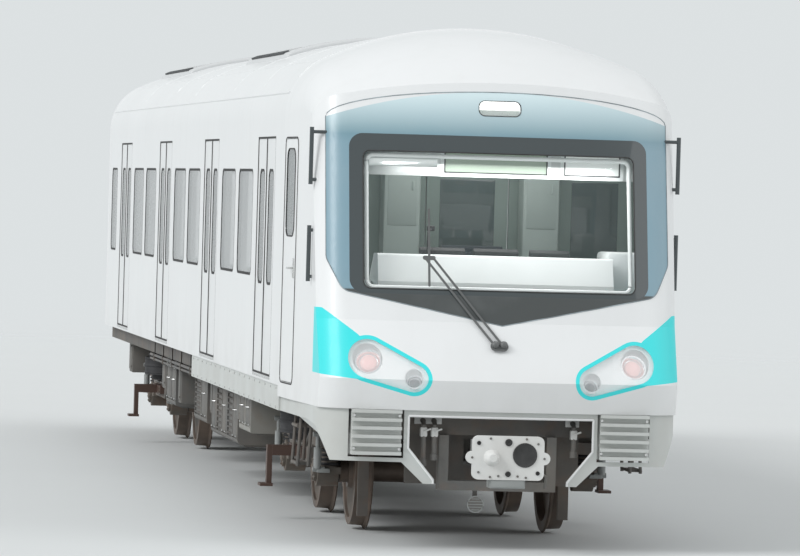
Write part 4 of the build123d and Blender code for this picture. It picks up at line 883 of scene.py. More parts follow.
class METRO_OT_coupler_fittings(CarOperator):
    """Fit the coupler's seals, bolts, contact block and lever, the horn's grille and the drawbar's bolts"""

    bl_idname = "metro.coupler_fittings"
    bl_label = "Coupler fittings"

    # Across and up from the coupler's middle: air ports with their radius, then bolts
    ports = ((0.0, 0.112, 0.026), (0.0, -0.115, 0.020), (0.215, -0.105, 0.015), (-0.215, 0.105, 0.015))
    bolt_places = (
        (0.215, 0.105), (-0.215, -0.105), (0.13, 0.138), (-0.13, 0.138), (0.13, -0.138), (-0.13, -0.138),
        (0.07, -0.13), (-0.07, -0.13), (0.262, 0.0), (-0.262, 0.0),
    )
    # The coupler's face ahead of the nose, and its middle above the rail
    face_reach, middle = 0.27, 0.667
    # X, place behind the nose and height of the horn's mouth, and its radius
    mouth, mouth_radius = (-0.15, 0.2795, 0.3), 0.058
    # Heads and shanks of the drawbar's bolts, behind the rear end
    head, shank = (0.196, 0.2105), (0.2, 0.249)

    def make(self, colours, sizes):
        face, z = station(-self.face_reach), level(self.middle)
        forward = Matrix.Rotation(radians(90), 4, "X")
        seals = Forms()
        collar = ((0.073, -0.004), (0.088, -0.004), (0.088, 0.006), (0.082, 0.01), (0.073, 0.006))
        seals.lathe(collar, (0.12, face, z + 0.023), forward, 40)
        for x, up, radius in self.ports:
            button = ((0.002, -0.004), (radius, -0.004), (radius, 0.008))
            button += ((radius * 0.6, 0.011), (0.002, 0.004))
            seals.lathe(button, (x, face, z + up), forward, 20)
        seals.piece("coupler_seals", "seal", "coupler_arm", "coupler_steel")

        steelwork = Forms()
        for x, up in self.bolt_places:
            steelwork.rod((x, face + 0.001, z + up), (x, face - 0.007, z + up), 0.009, 6)
        for reach in (0.3, 0.62):
            band = ((0.07, -0.02), (0.086, -0.02), (0.086, 0.02), (0.07, 0.02))
            steelwork.lathe(band, (0.0, face + reach, z), forward, 32)
        lever = ((0.15, 0.12, -0.08), (0.27, 0.14, -0.11), (0.3, 0.15, -0.14), (0.3, 0.2, -0.22))
        steelwork.tube([(x, face + back, z + up) for x, back, up in lever], 0.011, 8)
        steelwork.piece("coupler_steelwork", "drawbar", "coupler_arm", "coupler_steel")

        block = Forms()
        block.block((0.0, face + 0.09, z - 0.185), (0.26, 0.15, 0.07), 0.008)
        block.block((0.0, face + 0.012, z - 0.185), (0.24, 0.012, 0.055), 0.004)
        block.rod((0.0, face + 0.1, z - 0.152), (0.0, face + 0.1, z - 0.105), 0.03, 16)
        block.piece("contact_block", "grey", "coupler_arm", "coupler_white")

        horn = Forms()
        mouth_x, mouth_y, mouth_z = point(*self.mouth)
        for k in range(-2, 3):
            reach = self.mouth_radius * cos(k * pi / 6)
            horn.rod(*[(mouth_x + side * reach, mouth_y, mouth_z + k * 0.02) for side in (-1, 1)], 0.003, 6)
        rim = [(mouth_x + x, mouth_y, mouth_z + up) for x, up in circle((0, 0), self.mouth_radius, 28)]
        horn.tube(rim, 0.005, 6, closed=True)
        horn.piece("horn_grille", "grey", slot="coupler_steel")

        bolts = Forms()
        for x, up in circle((0.0, 0.0), 0.1, 8):
            for (start, end), radius, sides in ((self.head, 0.022, 6), (self.shank, 0.0118, 12)):
                bolts.rod((x, REAR_Y + start, z + up), (x, REAR_Y + end, z + up), radius, sides)
        sleeve = ((0.06, 0.0), (0.078, 0.0), (0.078, 0.05), (0.06, 0.05))
        bolts.lathe(sleeve, (0.0, REAR_Y + 0.1, z), forward, 32)
        bolts.piece("drawbar_bolts", "bright", "drawbar_arm", "coupler_steel")


class METRO_OT_side_seals(CarOperator):
    """Frame each side window, door leaf and doorway with its rubber seals"""

    bl_idname = "metro.side_seals"
    bl_label = "Side seals"

    # The play in an opening, and the depths between which a pane's frame lies in it
    play, near, far = 0.004, 0.0004, 0.0032

    def frame_pane(self, forms, at, size, sizes, depth):
        width, height = size
        outer = rounded(width - self.play, height - self.play, sizes.corner, at)
        inner = rounded(width - 2 * sizes.seal, height - 2 * sizes.seal, sizes.corner - 0.01, at)
        forms.ring(outer, inner, depth + self.near, depth + self.far, right_side)

    def make(self, colours, sizes):
        seals = Forms()
        middle = level(sizes.window_bottom + sizes.window_height / 2)
        for centre, width in window_places(sizes):
            self.frame_pane(seals, (station(centre), middle), (width, sizes.window_height), sizes, 0.0)
        pane = (sizes.leaf_window_width, sizes.leaf_window_height)
        doorway = level(sizes.floor) + sizes.door_height / 2
        for centre in door_centres(sizes):
            y = station(centre)
            for side in (-1, 1):
                at = (y + side * sizes.door_width / 4, level(sizes.leaf_window_level))
                self.frame_pane(seals, at, pane, sizes, sizes.leaf_recess)
                at = (HALF_WIDTH - 0.0028, y + side * 0.009, doorway)
                seals.block(at, (0.005, 0.012, sizes.door_height - 0.03), 0.0015)
            outer = rounded(sizes.door_width - 0.001, sizes.door_height - 0.001, 0.012, (y, doorway))
            inner = rounded(sizes.door_width - 0.032, sizes.door_height - 0.032, 0.03, (y, doorway))
            seals.ring(outer, inner, 0.0006, sizes.leaf_recess + 0.0003, right_side)
        seals.copy_across()
        seals.piece("side_seals", "seal", slot="side_glass")


class METRO_OT_door_fittings(CarOperator):
    """Fit strips, tread plates and grips to the doorways, and handles, seals and steps to the cab doors"""

    bl_idname = "metro.door_fittings"
    bl_label = "Door fittings"

    # Width, height, corner and middle (behind the nose, above the rail) of the cab door and its window
    cab_doorway = (0.634, 1.844, 0.067, 1.87, 2.015)
    cab_window = (0.404, 0.654, 0.092, 1.87, 2.525)
    cab_handle = (1.64, 1.96)
    # X, ends behind the nose and heights of the cab steps
    step_rails, step_ends, treads = (1.22, 1.30), (1.69, 2.05), (0.50, 0.78)

    def outline(self, width, height, corner, distance, up):
        return rounded(width, height, corner, (station(distance), level(up)))

    def make(self, colours, sizes):
        metal = Forms()
        for centre in door_centres(sizes):
            y = station(centre)
            metal.block((HALF_WIDTH + 0.0005, y, level(1.087)), (0.004, 1.29, 0.02), 0.001)
            metal.block((HALF_WIDTH - 0.103, y, level(sizes.floor) + 0.004), (0.08, 1.27, 0.007), 0.001)
            for k in range(5):
                groove = (HALF_WIDTH - 0.131 + 0.014 * k, y, level(sizes.floor) + 0.008)
                metal.block(groove, (0.005, 1.25, 0.003))
            for side in (-1, 1):
                x, along = HALF_WIDTH - 0.085, y + side * 0.09
                metal.rod((x, along, level(1.75)), (x, along, level(2.6)), 0.011, 10)
                for z in (1.78, 2.57):
                    metal.rod((x, along, level(z)), (HALF_WIDTH - 0.058, along, level(z)), 0.009, 8)
        metal.copy_across()
        metal.piece("doorway_metal", "bright", slot="pole_steel")
        self.cab_doors()
        self.cab_steps()

    def cab_doors(self):
        """Handles and window seals ride on the leaves, the doorway seals on the body."""
        skin = Skin(("cab_door_right", "cab_door_glass_right"), INWARD)
        y, z = station(self.cab_handle[0]), level(self.cab_handle[1])
        pane = [skin.at(u, v) for u, v in spread(self.outline(*self.cab_window), 0.03)]
        for name, left in (("right", False), ("left", True)):
            fittings, seal = Forms(), Forms()
            fittings.block(skin.at(y, z, 0.002), (0.008, 0.055, 0.15), 0.003)
            lever = ((0.0, 0.004), (0.0, 0.028), (0.02, 0.034), (0.12, 0.032))
            fittings.tube([skin.at(y + along, z, out) for along, out in lever], 0.0075, 10)
            fittings.rod(skin.at(y, z - 0.05, 0.003), skin.at(y, z - 0.05, 0.009), 0.011, 16)
            inside = [skin.at(y, z, depth) for depth in (-0.044, -0.075)]
            inside.append(inside[1] + Vector((0, 0.1, 0)))
            fittings.tube(inside, 0.008, 8)
            seal.tube(pane, 0.006, 6, closed=True)
            made = ((fittings, "cab_handle", "bright"), (seal, "cab_pane_seal", "seal"))
            for forms, piece, finish in made:
                if left:
                    forms.flip()
                forms.piece(f"{piece}_{name}", finish, f"cab_leaf_{name}", "body_white")
        frame_skin = Skin(("cab_shell", "cab_door_right", "cab_door_glass_right"), INWARD)
        loop = spread(self.outline(*self.cab_doorway), 0.05)
        beads = Forms()
        beads.tube([frame_skin.at(u, v, -0.001) for u, v in loop], 0.006, 6, closed=True)
        beads.copy_across()
        beads.piece("cab_doorway_seals", "seal", slot="body_white")

    def cab_steps(self):
        steps = Forms()
        (inner, outer), (start, end) = self.step_rails, self.step_ends
        for z in self.treads:
            steps.rod(point(outer, start, z), point(outer, end, z), 0.014, 10)
            steps.rod(point(inner, start, z), point(inner, end, z), 0.012, 10)
            for k in range(7):
                steps.block((1.26, station(1.72) + 0.05 * k, level(z)), (0.085, 0.01, 0.02), 0.002)
        for d in self.step_ends:
            for x in self.step_rails:
                steps.rod(point(x, d, 0.48), point(x - 0.03, d, 1.05), 0.013, 8)
        steps.copy_across()
        steps.piece("cab_steps", "under", slot="underframe_grey")


class METRO_OT_roof_fittings(CarOperator):
    """Fit seams, drip rails and vents to the roof, and guards, fans, meshes and louvres to its units"""

    bl_idname = "metro.roof_fittings"
    bl_label = "Roof fittings"

    # Behind the nose: cross seams, vents, the hood's joint, the start of the drip rails and the units
    seam_stations = (4.6, 6.95, 10.45, 12.75, 15.75)
    vent_stations = (5.4, 12.3, 14.3)
    joint_station, rail_station = 2.304, 2.32
    unit_stations = (8.7, 17.5)
    # X and radius of the long seam and of the drip rail
    long_runs = ((1.15, 0.004), (1.365, 0.010))
    # Heights above the rail of the units' tops and of their intakes, and X of intakes and louvres
    unit_top, intake_level = 3.84, 3.69
    intake_x, louvre_x = 0.69, 0.855
    fan_shift = 0.45
    lid_places = ((-0.45, 1.28), (0.45, 1.28), (-0.45, -1.28), (0.45, -1.28))

    def make(self, colours, sizes):
        skin = Skin(("roof", "cab_shell", "hvac_units"), DOWN)
        seams = Forms()
        for d in self.seam_stations:
            seams.tube([skin.at(-1.33 + 0.0665 * k, station(d)) for k in range(41)], 0.004, 6)
        seams.tube([skin.at(-1.30 + 0.065 * k, station(self.joint_station)) for k in range(41)], 0.007, 6)
        for x, radius in self.long_runs:
            for side in (-1, 1):
                run = [skin.at(side * x, station(self.rail_station + 0.6 * k)) for k in range(29)]
                seams.tube(run, radius, 8)
        seams.piece("roof_seams", "body", slot="body_white")

        vents = Forms()
        for d in self.vent_stations:
            spot = skin.at(0.0, station(d))
            vents.block(spot + Vector((0, 0, 0.004)), (0.42, 0.3, 0.03), 0.008, 3)
            for k in range(-3, 4):
                vents.block(spot + Vector((0.055 * k, 0, 0.021)), (0.02, 0.24, 0.007), 0.002)
        self.unit_lids(vents, skin)
        vents.piece("roof_vents", "unit", slot="unit_grey")

        guards, blades, mesh = Forms(), Forms(), Forms()
        for d in self.unit_stations:
            for shift in (-self.fan_shift, self.fan_shift):
                self.fan(guards, blades, Vector(point(0.0, d + shift, self.unit_top)))
            z = level(self.intake_level)
            for x in (-self.intake_x, self.intake_x):
                mesh.block((x, station(d), z + 0.004), (0.256, 1.86, 0.004))
                for k in range(-4, 5):
                    ends = [(x + 0.027 * k, station(d) + side * 0.93, z + 0.016) for side in (-1, 1)]
                    mesh.rod(*ends, 0.0025, 6)
            for x in (-self.louvre_x, self.louvre_x):
                for k in range(29):
                    spot, turn = skin.seat(x, station(d) - 1.26 + 0.09 * k, 0.003)
                    mesh.block(spot, (0.05, 0.06, 0.016), turn=turn)
        guards.piece("fan_guards", "grey", slot="unit_grey")
        blades.piece("fan_blades", "black", slot="unit_grey")
        mesh.piece("intake_mesh", "louvre", slot="unit_grey")

    def unit_lids(self, forms, skin):
        for d in self.unit_stations:
            for x, along in self.lid_places:
                loop = spread(rounded(0.5, 0.5, 0.04, (x, station(d) + along), 4), 0.06)
                forms.tube([skin.at(u, v) for u, v in loop], 0.004, 6, closed=True)
                for u, v in ((x - 0.2, station(d) + along), (x + 0.2, station(d) + along)):
                    forms.block(skin.at(u, v, 0.002), (0.03, 0.06, 0.012), 0.003)

    def fan(self, guards, blades, top):
        for radius in (0.07, 0.13, 0.19, 0.245):
            loop = [top + Vector((x, y, -0.018)) for x, y in circle((0, 0), radius, 40)]
            guards.tube(loop, 0.004, 6, closed=True)
        for x, y in circle((0, 0), 0.25, 16)[:8]:
            guards.rod(top + Vector((x, y, -0.02)), top + Vector((-x, -y, -0.02)), 0.003, 6)
        guards.lathe(((0.255, -0.03), (0.271, -0.03), (0.271, -0.014), (0.255, -0.014)), top, None, 48)
        blades.lathe(((0.002, -0.056), (0.06, -0.056), (0.06, -0.035), (0.002, -0.03)), top, None, 24)
        for k in range(6):
            tilt = Matrix.Rotation(2 * pi * k / 6, 4, "Z") @ Matrix.Rotation(radians(22), 4, "X")
            reach = Matrix.Rotation(2 * pi * k / 6, 3, "Z") @ Vector((0.15, 0, 0))
            blades.block(top + reach + DOWN * 0.042, (0.18, 0.08, 0.003), 0.001, 1, tilt)


class METRO_OT_underfloor(CarOperator):
    """Hang lids, covers, latches, louvres, boxes, pipes and clamps under the floor, and bolt the skirts"""

    bl_idname = "metro.underfloor"
    bl_label = "Underfloor gear"

    # Outer x, start and end behind the nose, bottom height, panels and which of them are louvred
    cases = (
        (1.29, 5.27, 6.19, 0.56, 2, ()), (1.25, 6.70, 9.00, 0.40, 5, (1, 3)),
        (1.24, 9.50, 10.70, 0.45, 2, (1,)), (1.25, 12.50, 13.50, 0.48, 2, ()),
    )
    # Heights above the rail of the cases' tops and of the floor's underside, to which the clamps reach
    top, hanger_top = 0.93, 1.045
    # Start and end behind the nose, bottom height, outer x of each small box
    boxes = (
        (6.25, 6.62, 0.62, 1.27), (9.08, 9.42, 0.55, 1.22), (10.76, 10.92, 0.60, 1.20),
        (12.18, 12.44, 0.52, 1.23), (13.58, 13.95, 0.60, 1.25), (14.02, 14.30, 0.66, 1.20),
        (0.72, 1.02, 0.62, 1.12), (18.10, 18.45, 0.60, 1.20),
    )
    # X, height, radius, start and end behind the nose
    runs = (
        (1.319, 0.905, 0.014, 5.10, 14.50), (1.319, 0.868, 0.011, 5.10, 14.50),
        (1.14, 0.895, 0.025, 13.50, 14.40), (0.55, 0.88, 0.030, 9.00, 12.50),
        (0.30, 0.90, 0.022, 5.10, 14.40), (0.38, 0.90, 0.016, 5.10, 14.40),
    )
    # X and height of the reservoirs' axes
    tank_axis = (0.75, 0.73)

    def make(self, colours, sizes):
        lids, latches, fins = Forms(), Forms(), Forms()
        for outer, start, end, bottom, count, louvred in self.cases:
            step = (end - start) / count
            middle = level((bottom + self.top) / 2)
            tall = self.top - bottom - 0.09
            for i in range(count):
                y = station(start + step * (i + 0.5))
                wide = step - 0.045
                if i in louvred:
                    self.louvres(fins, outer, y, middle, wide, tall)
                else:
                    lids.block((outer - 0.008, y, middle), (0.012, wide - 0.03, tall - 0.03), 0.004)
                    self.lid_gear(latches, outer, y, middle, wide, tall)
                self.bottom_cover(lids, outer, y, level(bottom), wide)
        boxes, pipes, clamps, bolts = Forms(), Forms(), Forms(), Forms()
        self.hang_boxes(boxes)
        self.lay_pipes(pipes, clamps)
        for k in range(18):
            for z in (0.89, 1.035):
                at = Vector(point(1.387, 2.5 + 0.4 * k, z))
                bolts.rod(at, at + Vector((0.0065, 0, 0)), 0.009, 8)
        made = (
            (lids, "case_lids", "case", "equipment_grey"),
            (latches, "case_latches", "bright", "equipment_grey"),
            (fins, "case_louvres", "under", "equipment_grey"),
            (boxes, "small_boxes", "case", "equipment_grey"),
            (pipes, "pipe_runs", "tank", "reservoir_grey"),
            (clamps, "pipe_clamps", "under", "underframe_grey"),
            (bolts, "skirt_bolts", "skirt", "skirt_grey"),
        )
        for forms, name, finish, slot in made:
            forms.copy_across()
            forms.piece(name, finish, slot=slot)

    def louvres(self, forms, outer, y, middle, wide, tall):
        lean = Matrix.Rotation(radians(28), 4, "Y")
        for k in range(9):
            z = middle - tall / 2 + tall * (k + 0.5) / 9
            forms.block((outer - 0.007, y, z), (0.016, wide - 0.004, 0.014), 0.003, turn=lean)

    def bottom_cover(self, forms, outer, y, z, wide):
        """A bolted plate with two ribs under one bay of a case."""
        forms.block((outer - 0.29, y, z - 0.002), (0.48, wide - 0.04, 0.012), 0.003)
        for shift in (-0.25, 0.25):
            forms.block((outer - 0.29, y + shift * wide, z - 0.012), (0.42, 0.025, 0.016), 0.004)
        for x in (-0.51, -0.29, -0.07):
            for side in (-1, 1):
                at = Vector((outer + x, y + side * (wide / 2 - 0.04), z - 0.006))
                forms.rod(at, at - Vector((0, 0, 0.008)), 0.010, 6)

    def lid_gear(self, forms, outer, y, middle, wide, tall):
        for shift in (-0.3 * wide, 0.3 * wide):
            forms.block((outer + 0.003, y + shift, middle + tall / 2 - 0.03), (0.012, 0.035, 0.05), 0.004)
            x, along, z = outer + 0.002, y + shift, middle - tall / 2 + 0.02
            forms.rod((x, along - 0.03, z), (x, along + 0.03, z), 0.007, 8)
        grip = ((-0.003, -0.06), (0.016, -0.05), (0.016, 0.05), (-0.003, 0.06))
        forms.tube([(outer + out, y + along, middle + 0.02) for out, along in grip], 0.005, 8)

    def hang_boxes(self, forms):
        for start, end, bottom, outer in self.boxes:
            y, wide = station((start + end) / 2), end - start
            middle = level((bottom + self.top) / 2)
            forms.block((outer - 0.15, y, middle), (0.3, wide, self.top - bottom), 0.012)
            forms.block((outer + 0.001, y, middle), (0.01, wide - 0.05, self.top - bottom - 0.06), 0.004)
            for z in (bottom + 0.06, self.top - 0.06):
                at = Vector((outer + 0.004, y - wide / 2 + 0.045, level(z)))
                forms.rod(at, at + Vector((0.009, 0, 0)), 0.010, 8)
            for shift in (-0.25, 0.25):
                at = Vector((outer - 0.08, y + shift * wide, level(self.top)))
                forms.rod(at, at + Vector((0, 0, 0.112)), 0.02, 10)

    def lay_pipes(self, pipes, clamps):
        for x, z, radius, start, end in self.runs:
            pipes.rod(point(x, start, z), point(x, end, z), radius, 10)
            count = round((end - start) / 0.9)
            for k in range(count):
                y = station(start + (end - start) * (k + 0.5) / count)
                clamps.block((x, y, level(z)), (2 * radius + 0.012, 0.03, 2 * radius + 0.012), 0.003)
                clamps.block((x, y, level((z + self.hanger_top) / 2)), (0.012, 0.03, self.hanger_top - z))
        x, z = self.tank_axis
        feed = ((10.985, z), (10.95, z), (10.94, 0.75), (10.94, 1.05))
        pipes.tube([point(x, d, up) for d, up in feed], 0.018, 10)
        clamps.rod(point(x, 11.5, 0.60), point(x, 11.5, 0.555), 0.014, 8)
        clamps.rod(point(x, 10.965, z), point(x, 10.985, z), 0.04, 16)
        clamps.rod(point(x, 12.115, z), point(x, 12.14, z), 0.03, 16)


class METRO_OT_bogie_fittings(CarOperator):
    """Fit coils, bellows rings, dampers, covers, pipes and bolts to both bogies"""

    bl_idname = "metro.bogie_fittings"
    bl_label = "Bogie fittings"

    pivots = (("front", 3.6), ("rear", 16.2))
    axle_reach = 1.1
    # X of the side frames' middle, the axle boxes' covers, the brake pipes and the frames' outer faces
    frame_x, cover_x, pipe_x, face_x = 0.985, 1.089, 1.081, 1.108

    def make(self, colours, sizes):
        for place, pivot in self.pivots:
            coils, dampers, bolts, pipes, rings = Forms(), Forms(), Forms(), Forms(), Forms()
            for way in (-1, 1):
                axle = station(pivot + way * self.axle_reach)
                self.springs(coils, bolts, axle)
                self.cover(bolts, axle)
                self.damper(dampers, axle, way)
                bend = ((0.7, 0.36, 0.56), (0.7, 0.38, 0.64), (0.7, 0.46, 0.655), (0.72, 0.54, 0.64))
                bend += ((0.72, 0.55, 0.59),)
                pipes.tube([point(x, pivot + way * along, z) for x, along, z in bend], 0.013, 8)
            for radius, z in ((0.238, 0.672), (0.243, 0.74), (0.238, 0.805)):
                fold = ((-0.02, -0.02), (0.0, -0.02), (0.012, 0.0), (0.0, 0.02), (-0.02, 0.02))
                profile = [(radius + out, up) for out, up in fold]
                rings.lathe(profile, point(self.frame_x, pivot, z), None, 48)
            self.frame_bolts(bolts, station(pivot))
            line = ((-1.4, 0.69), (-0.78, 0.69), (-0.5, 0.578), (0.5, 0.578), (0.78, 0.69), (1.4, 0.69))
            pipes.tube([point(self.pipe_x, pivot + along, z) for along, z in line], 0.011, 8)
            made = (
                (coils, "primary_coils", "spring", "axle_box_iron"),
                (rings, "bellows_rings", "spring", "spring_rubber"),
                (dampers, "dampers", "grey", "bogie_paint"),
                (bolts, "bogie_bolts", "iron", "axle_box_iron"),
                (pipes, "brake_pipes", "tank", "brake_iron"),
            )
            for forms, name, finish, slot in made:
                forms.copy_across()
                forms.piece(f"{name}_{place}", finish, f"bogie_{place}", slot)

    def springs(self, coils, plates, axle):
        for shift in (-0.165, 0.165):
            for k in range(4):
                coil = ((0.064, -0.010), (0.076, -0.010), (0.083, 0.0), (0.076, 0.010), (0.064, 0.010))
                coils.lathe(coil, (self.frame_x, axle + shift, level(0.474 + 0.034 * k)), None, 28)
            for z in (0.452, 0.598):
                plate = ((0.002, -0.006), (0.086, -0.006), (0.086, 0.006), (0.002, 0.006))
                plates.lathe(plate, (self.frame_x, axle + shift, level(z)), None, 28)

    def cover(self, forms, axle):
        out = Matrix.Rotation(radians(90), 4, "Y")
        at = Vector((self.cover_x, axle, level(AXLE_LEVEL)))
        cap = ((0.002, -0.003), (0.052, -0.003), (0.052, 0.007), (0.04, 0.011), (0.002, 0.012))
        forms.lathe(cap, at, out, 32)
        for y, z in circle((0.0, 0.0), 0.075, 8, pi / 8):
            spot = at + Vector((-0.002, y, z))
            forms.rod(spot, spot + Vector((0.011, 0, 0)), 0.009, 6)

    def damper(self, forms, axle, way):
        y, x = axle + way * 0.285, self.frame_x + 0.105
        forms.rod((x, y, level(0.44)), (x, y, level(0.60)), 0.03, 16)
        forms.rod((x, y, level(0.60)), (x, y, level(0.70)), 0.017, 12)
        for z in (0.435, 0.70):
            forms.rod((x - 0.055, y, level(z)), (x + 0.035, y, level(z)), 0.02, 12)
        forms.block((x - 0.045, axle + way * 0.24, level(0.425)), (0.1, 0.14, 0.03), 0.006)

    def frame_bolts(self, forms, y):
        for x, along in ((-0.05, -0.2), (0.05, -0.2), (-0.05, 0.2), (0.05, 0.2)):
            at = Vector((self.frame_x + x, y + along, level(0.598)))
            forms.rod(at, at + Vector((0, 0, 0.02)), 0.013, 6)
        for along in (-0.38, -0.3, 0.3, 0.38):
            for z in (0.492, 0.528):
                at = Vector((self.face_x, y + along, level(z)))
                forms.rod(at, at + Vector((0.013, 0, 0)), 0.010, 6)


class METRO_OT_wheel_fittings(CarOperator):
    """Fit damping rings and plugs to each wheel"""

    bl_idname = "metro.wheel_fittings"
    bl_label = "Wheel fittings"

    axles = (2.5, 4.7, 15.1, 17.3)

    def make(self, colours, sizes):
        out = Matrix.Rotation(radians(90), 4, "Y")
        for i, distance in enumerate(self.axles):
            rings = Forms()
            y, z = station(distance), level(AXLE_LEVEL)
            for radius, x in ((0.343, 0.79), (0.205, 0.765)):
                lip = ((-0.008, -0.012), (0.009, -0.012), (0.009, 0.004), (-0.008, 0.004))
                rings.lathe([(radius + a, b) for a, b in lip], (x, y, z), out, 56)
            for along, up in circle((y, z), 0.27, 4):
                rings.rod((0.757, along, up), (0.769, along, up), 0.016, 12)
            rings.copy_across()
            rings.piece(f"wheel_rings_{i + 1}", "iron", f"axle_{i + 1}", "wheel_steel")


class METRO_OT_saloon(CarOperator):
    """Lay the floor, light the ceiling, hang the straps and rib the seats"""

    bl_idname = "metro.saloon"
    bl_label = "Saloon"

    strap_loop = (
        (0.0, 0.085), (0.03, 0.07), (0.062, 0.0), (0.055, -0.022), (0.0, -0.03),
        (-0.055, -0.022), (-0.062, 0.0), (-0.03, 0.07),
    )
    seat_line = ((1.272, 1.89), (1.238, 1.56), (1.222, 1.534), (0.91, 1.547))
    strap_x = 0.86
    # From a doorway's middle to the seats beside it, and the end of the last seats behind the nose
    seat_gap, last_seat = 0.77, 19.1

    def make(self, colours, sizes):
        floor, lights, vents, straps, ribs = Forms(), Forms(), Forms(), Forms(), Forms()
        start, end = station(2.32), REAR_Y - 0.09
        floor.block((0, (start + end) / 2, level(sizes.floor) + 0.0022), (2.5, end - start, 0.003))
        floor.block((0, station(1.595), level(sizes.floor) + 0.0022), (2.3, 1.0, 0.003))
        for k in range(24):
            y = start + (end - start) * (k + 0.5) / 24
            vents.block((0.0, y, level(3.177)), (0.3, 0.5, 0.01), 0.002)
            if k % 3 == 1:
                for x in (-0.55, 0.55):
                    lights.block((x, y, level(3.171)), (0.16, 1.9, 0.02), 0.006)
        centres = door_centres(sizes)
        bays = [(a + self.seat_gap, b - self.seat_gap) for a, b in zip(centres, centres[1:])]
        bays.append((centres[-1] + self.seat_gap, self.last_seat))
        for a, b in bays:
            count = max(2, round((b - a) / 0.42))
            for k in range(count):
                self.strap(straps, station(a + (b - a) * (k + 0.5) / count))
            seats = max(1, round((b - a) / 0.45))
            for k in range(seats + 1):
                y = station(a + (b - a) * (k + 0.02) / (seats + 0.04))
                ribs.tube([(x, y, level(z)) for x, z in self.seat_line], 0.008, 8)
        straps.copy_across()
        ribs.copy_across()
        floor.piece("floor_covering", "floor", slot="lining_white")
        lights.piece("ceiling_lights", "light", slot="lining_white")
        vents.piece("ceiling_vents", "unit", slot="lining_white")
        straps.piece("hand_straps", "grey", slot="pole_steel")
        ribs.piece("seat_ribs", "grey", slot="seat_shell")

    def strap(self, forms, y):
        x = self.strap_x
        forms.block((x, y, level(2.86)), (0.004, 0.025, 0.17), 0.001)
        forms.rod((x, y - 0.02, level(2.95)), (x, y + 0.02, level(2.95)), 0.022, 12)
        handle = [(x, y + along, level(2.70) + up) for along, up in self.strap_loop]
        forms.tube(handle, 0.009, 6, closed=True)


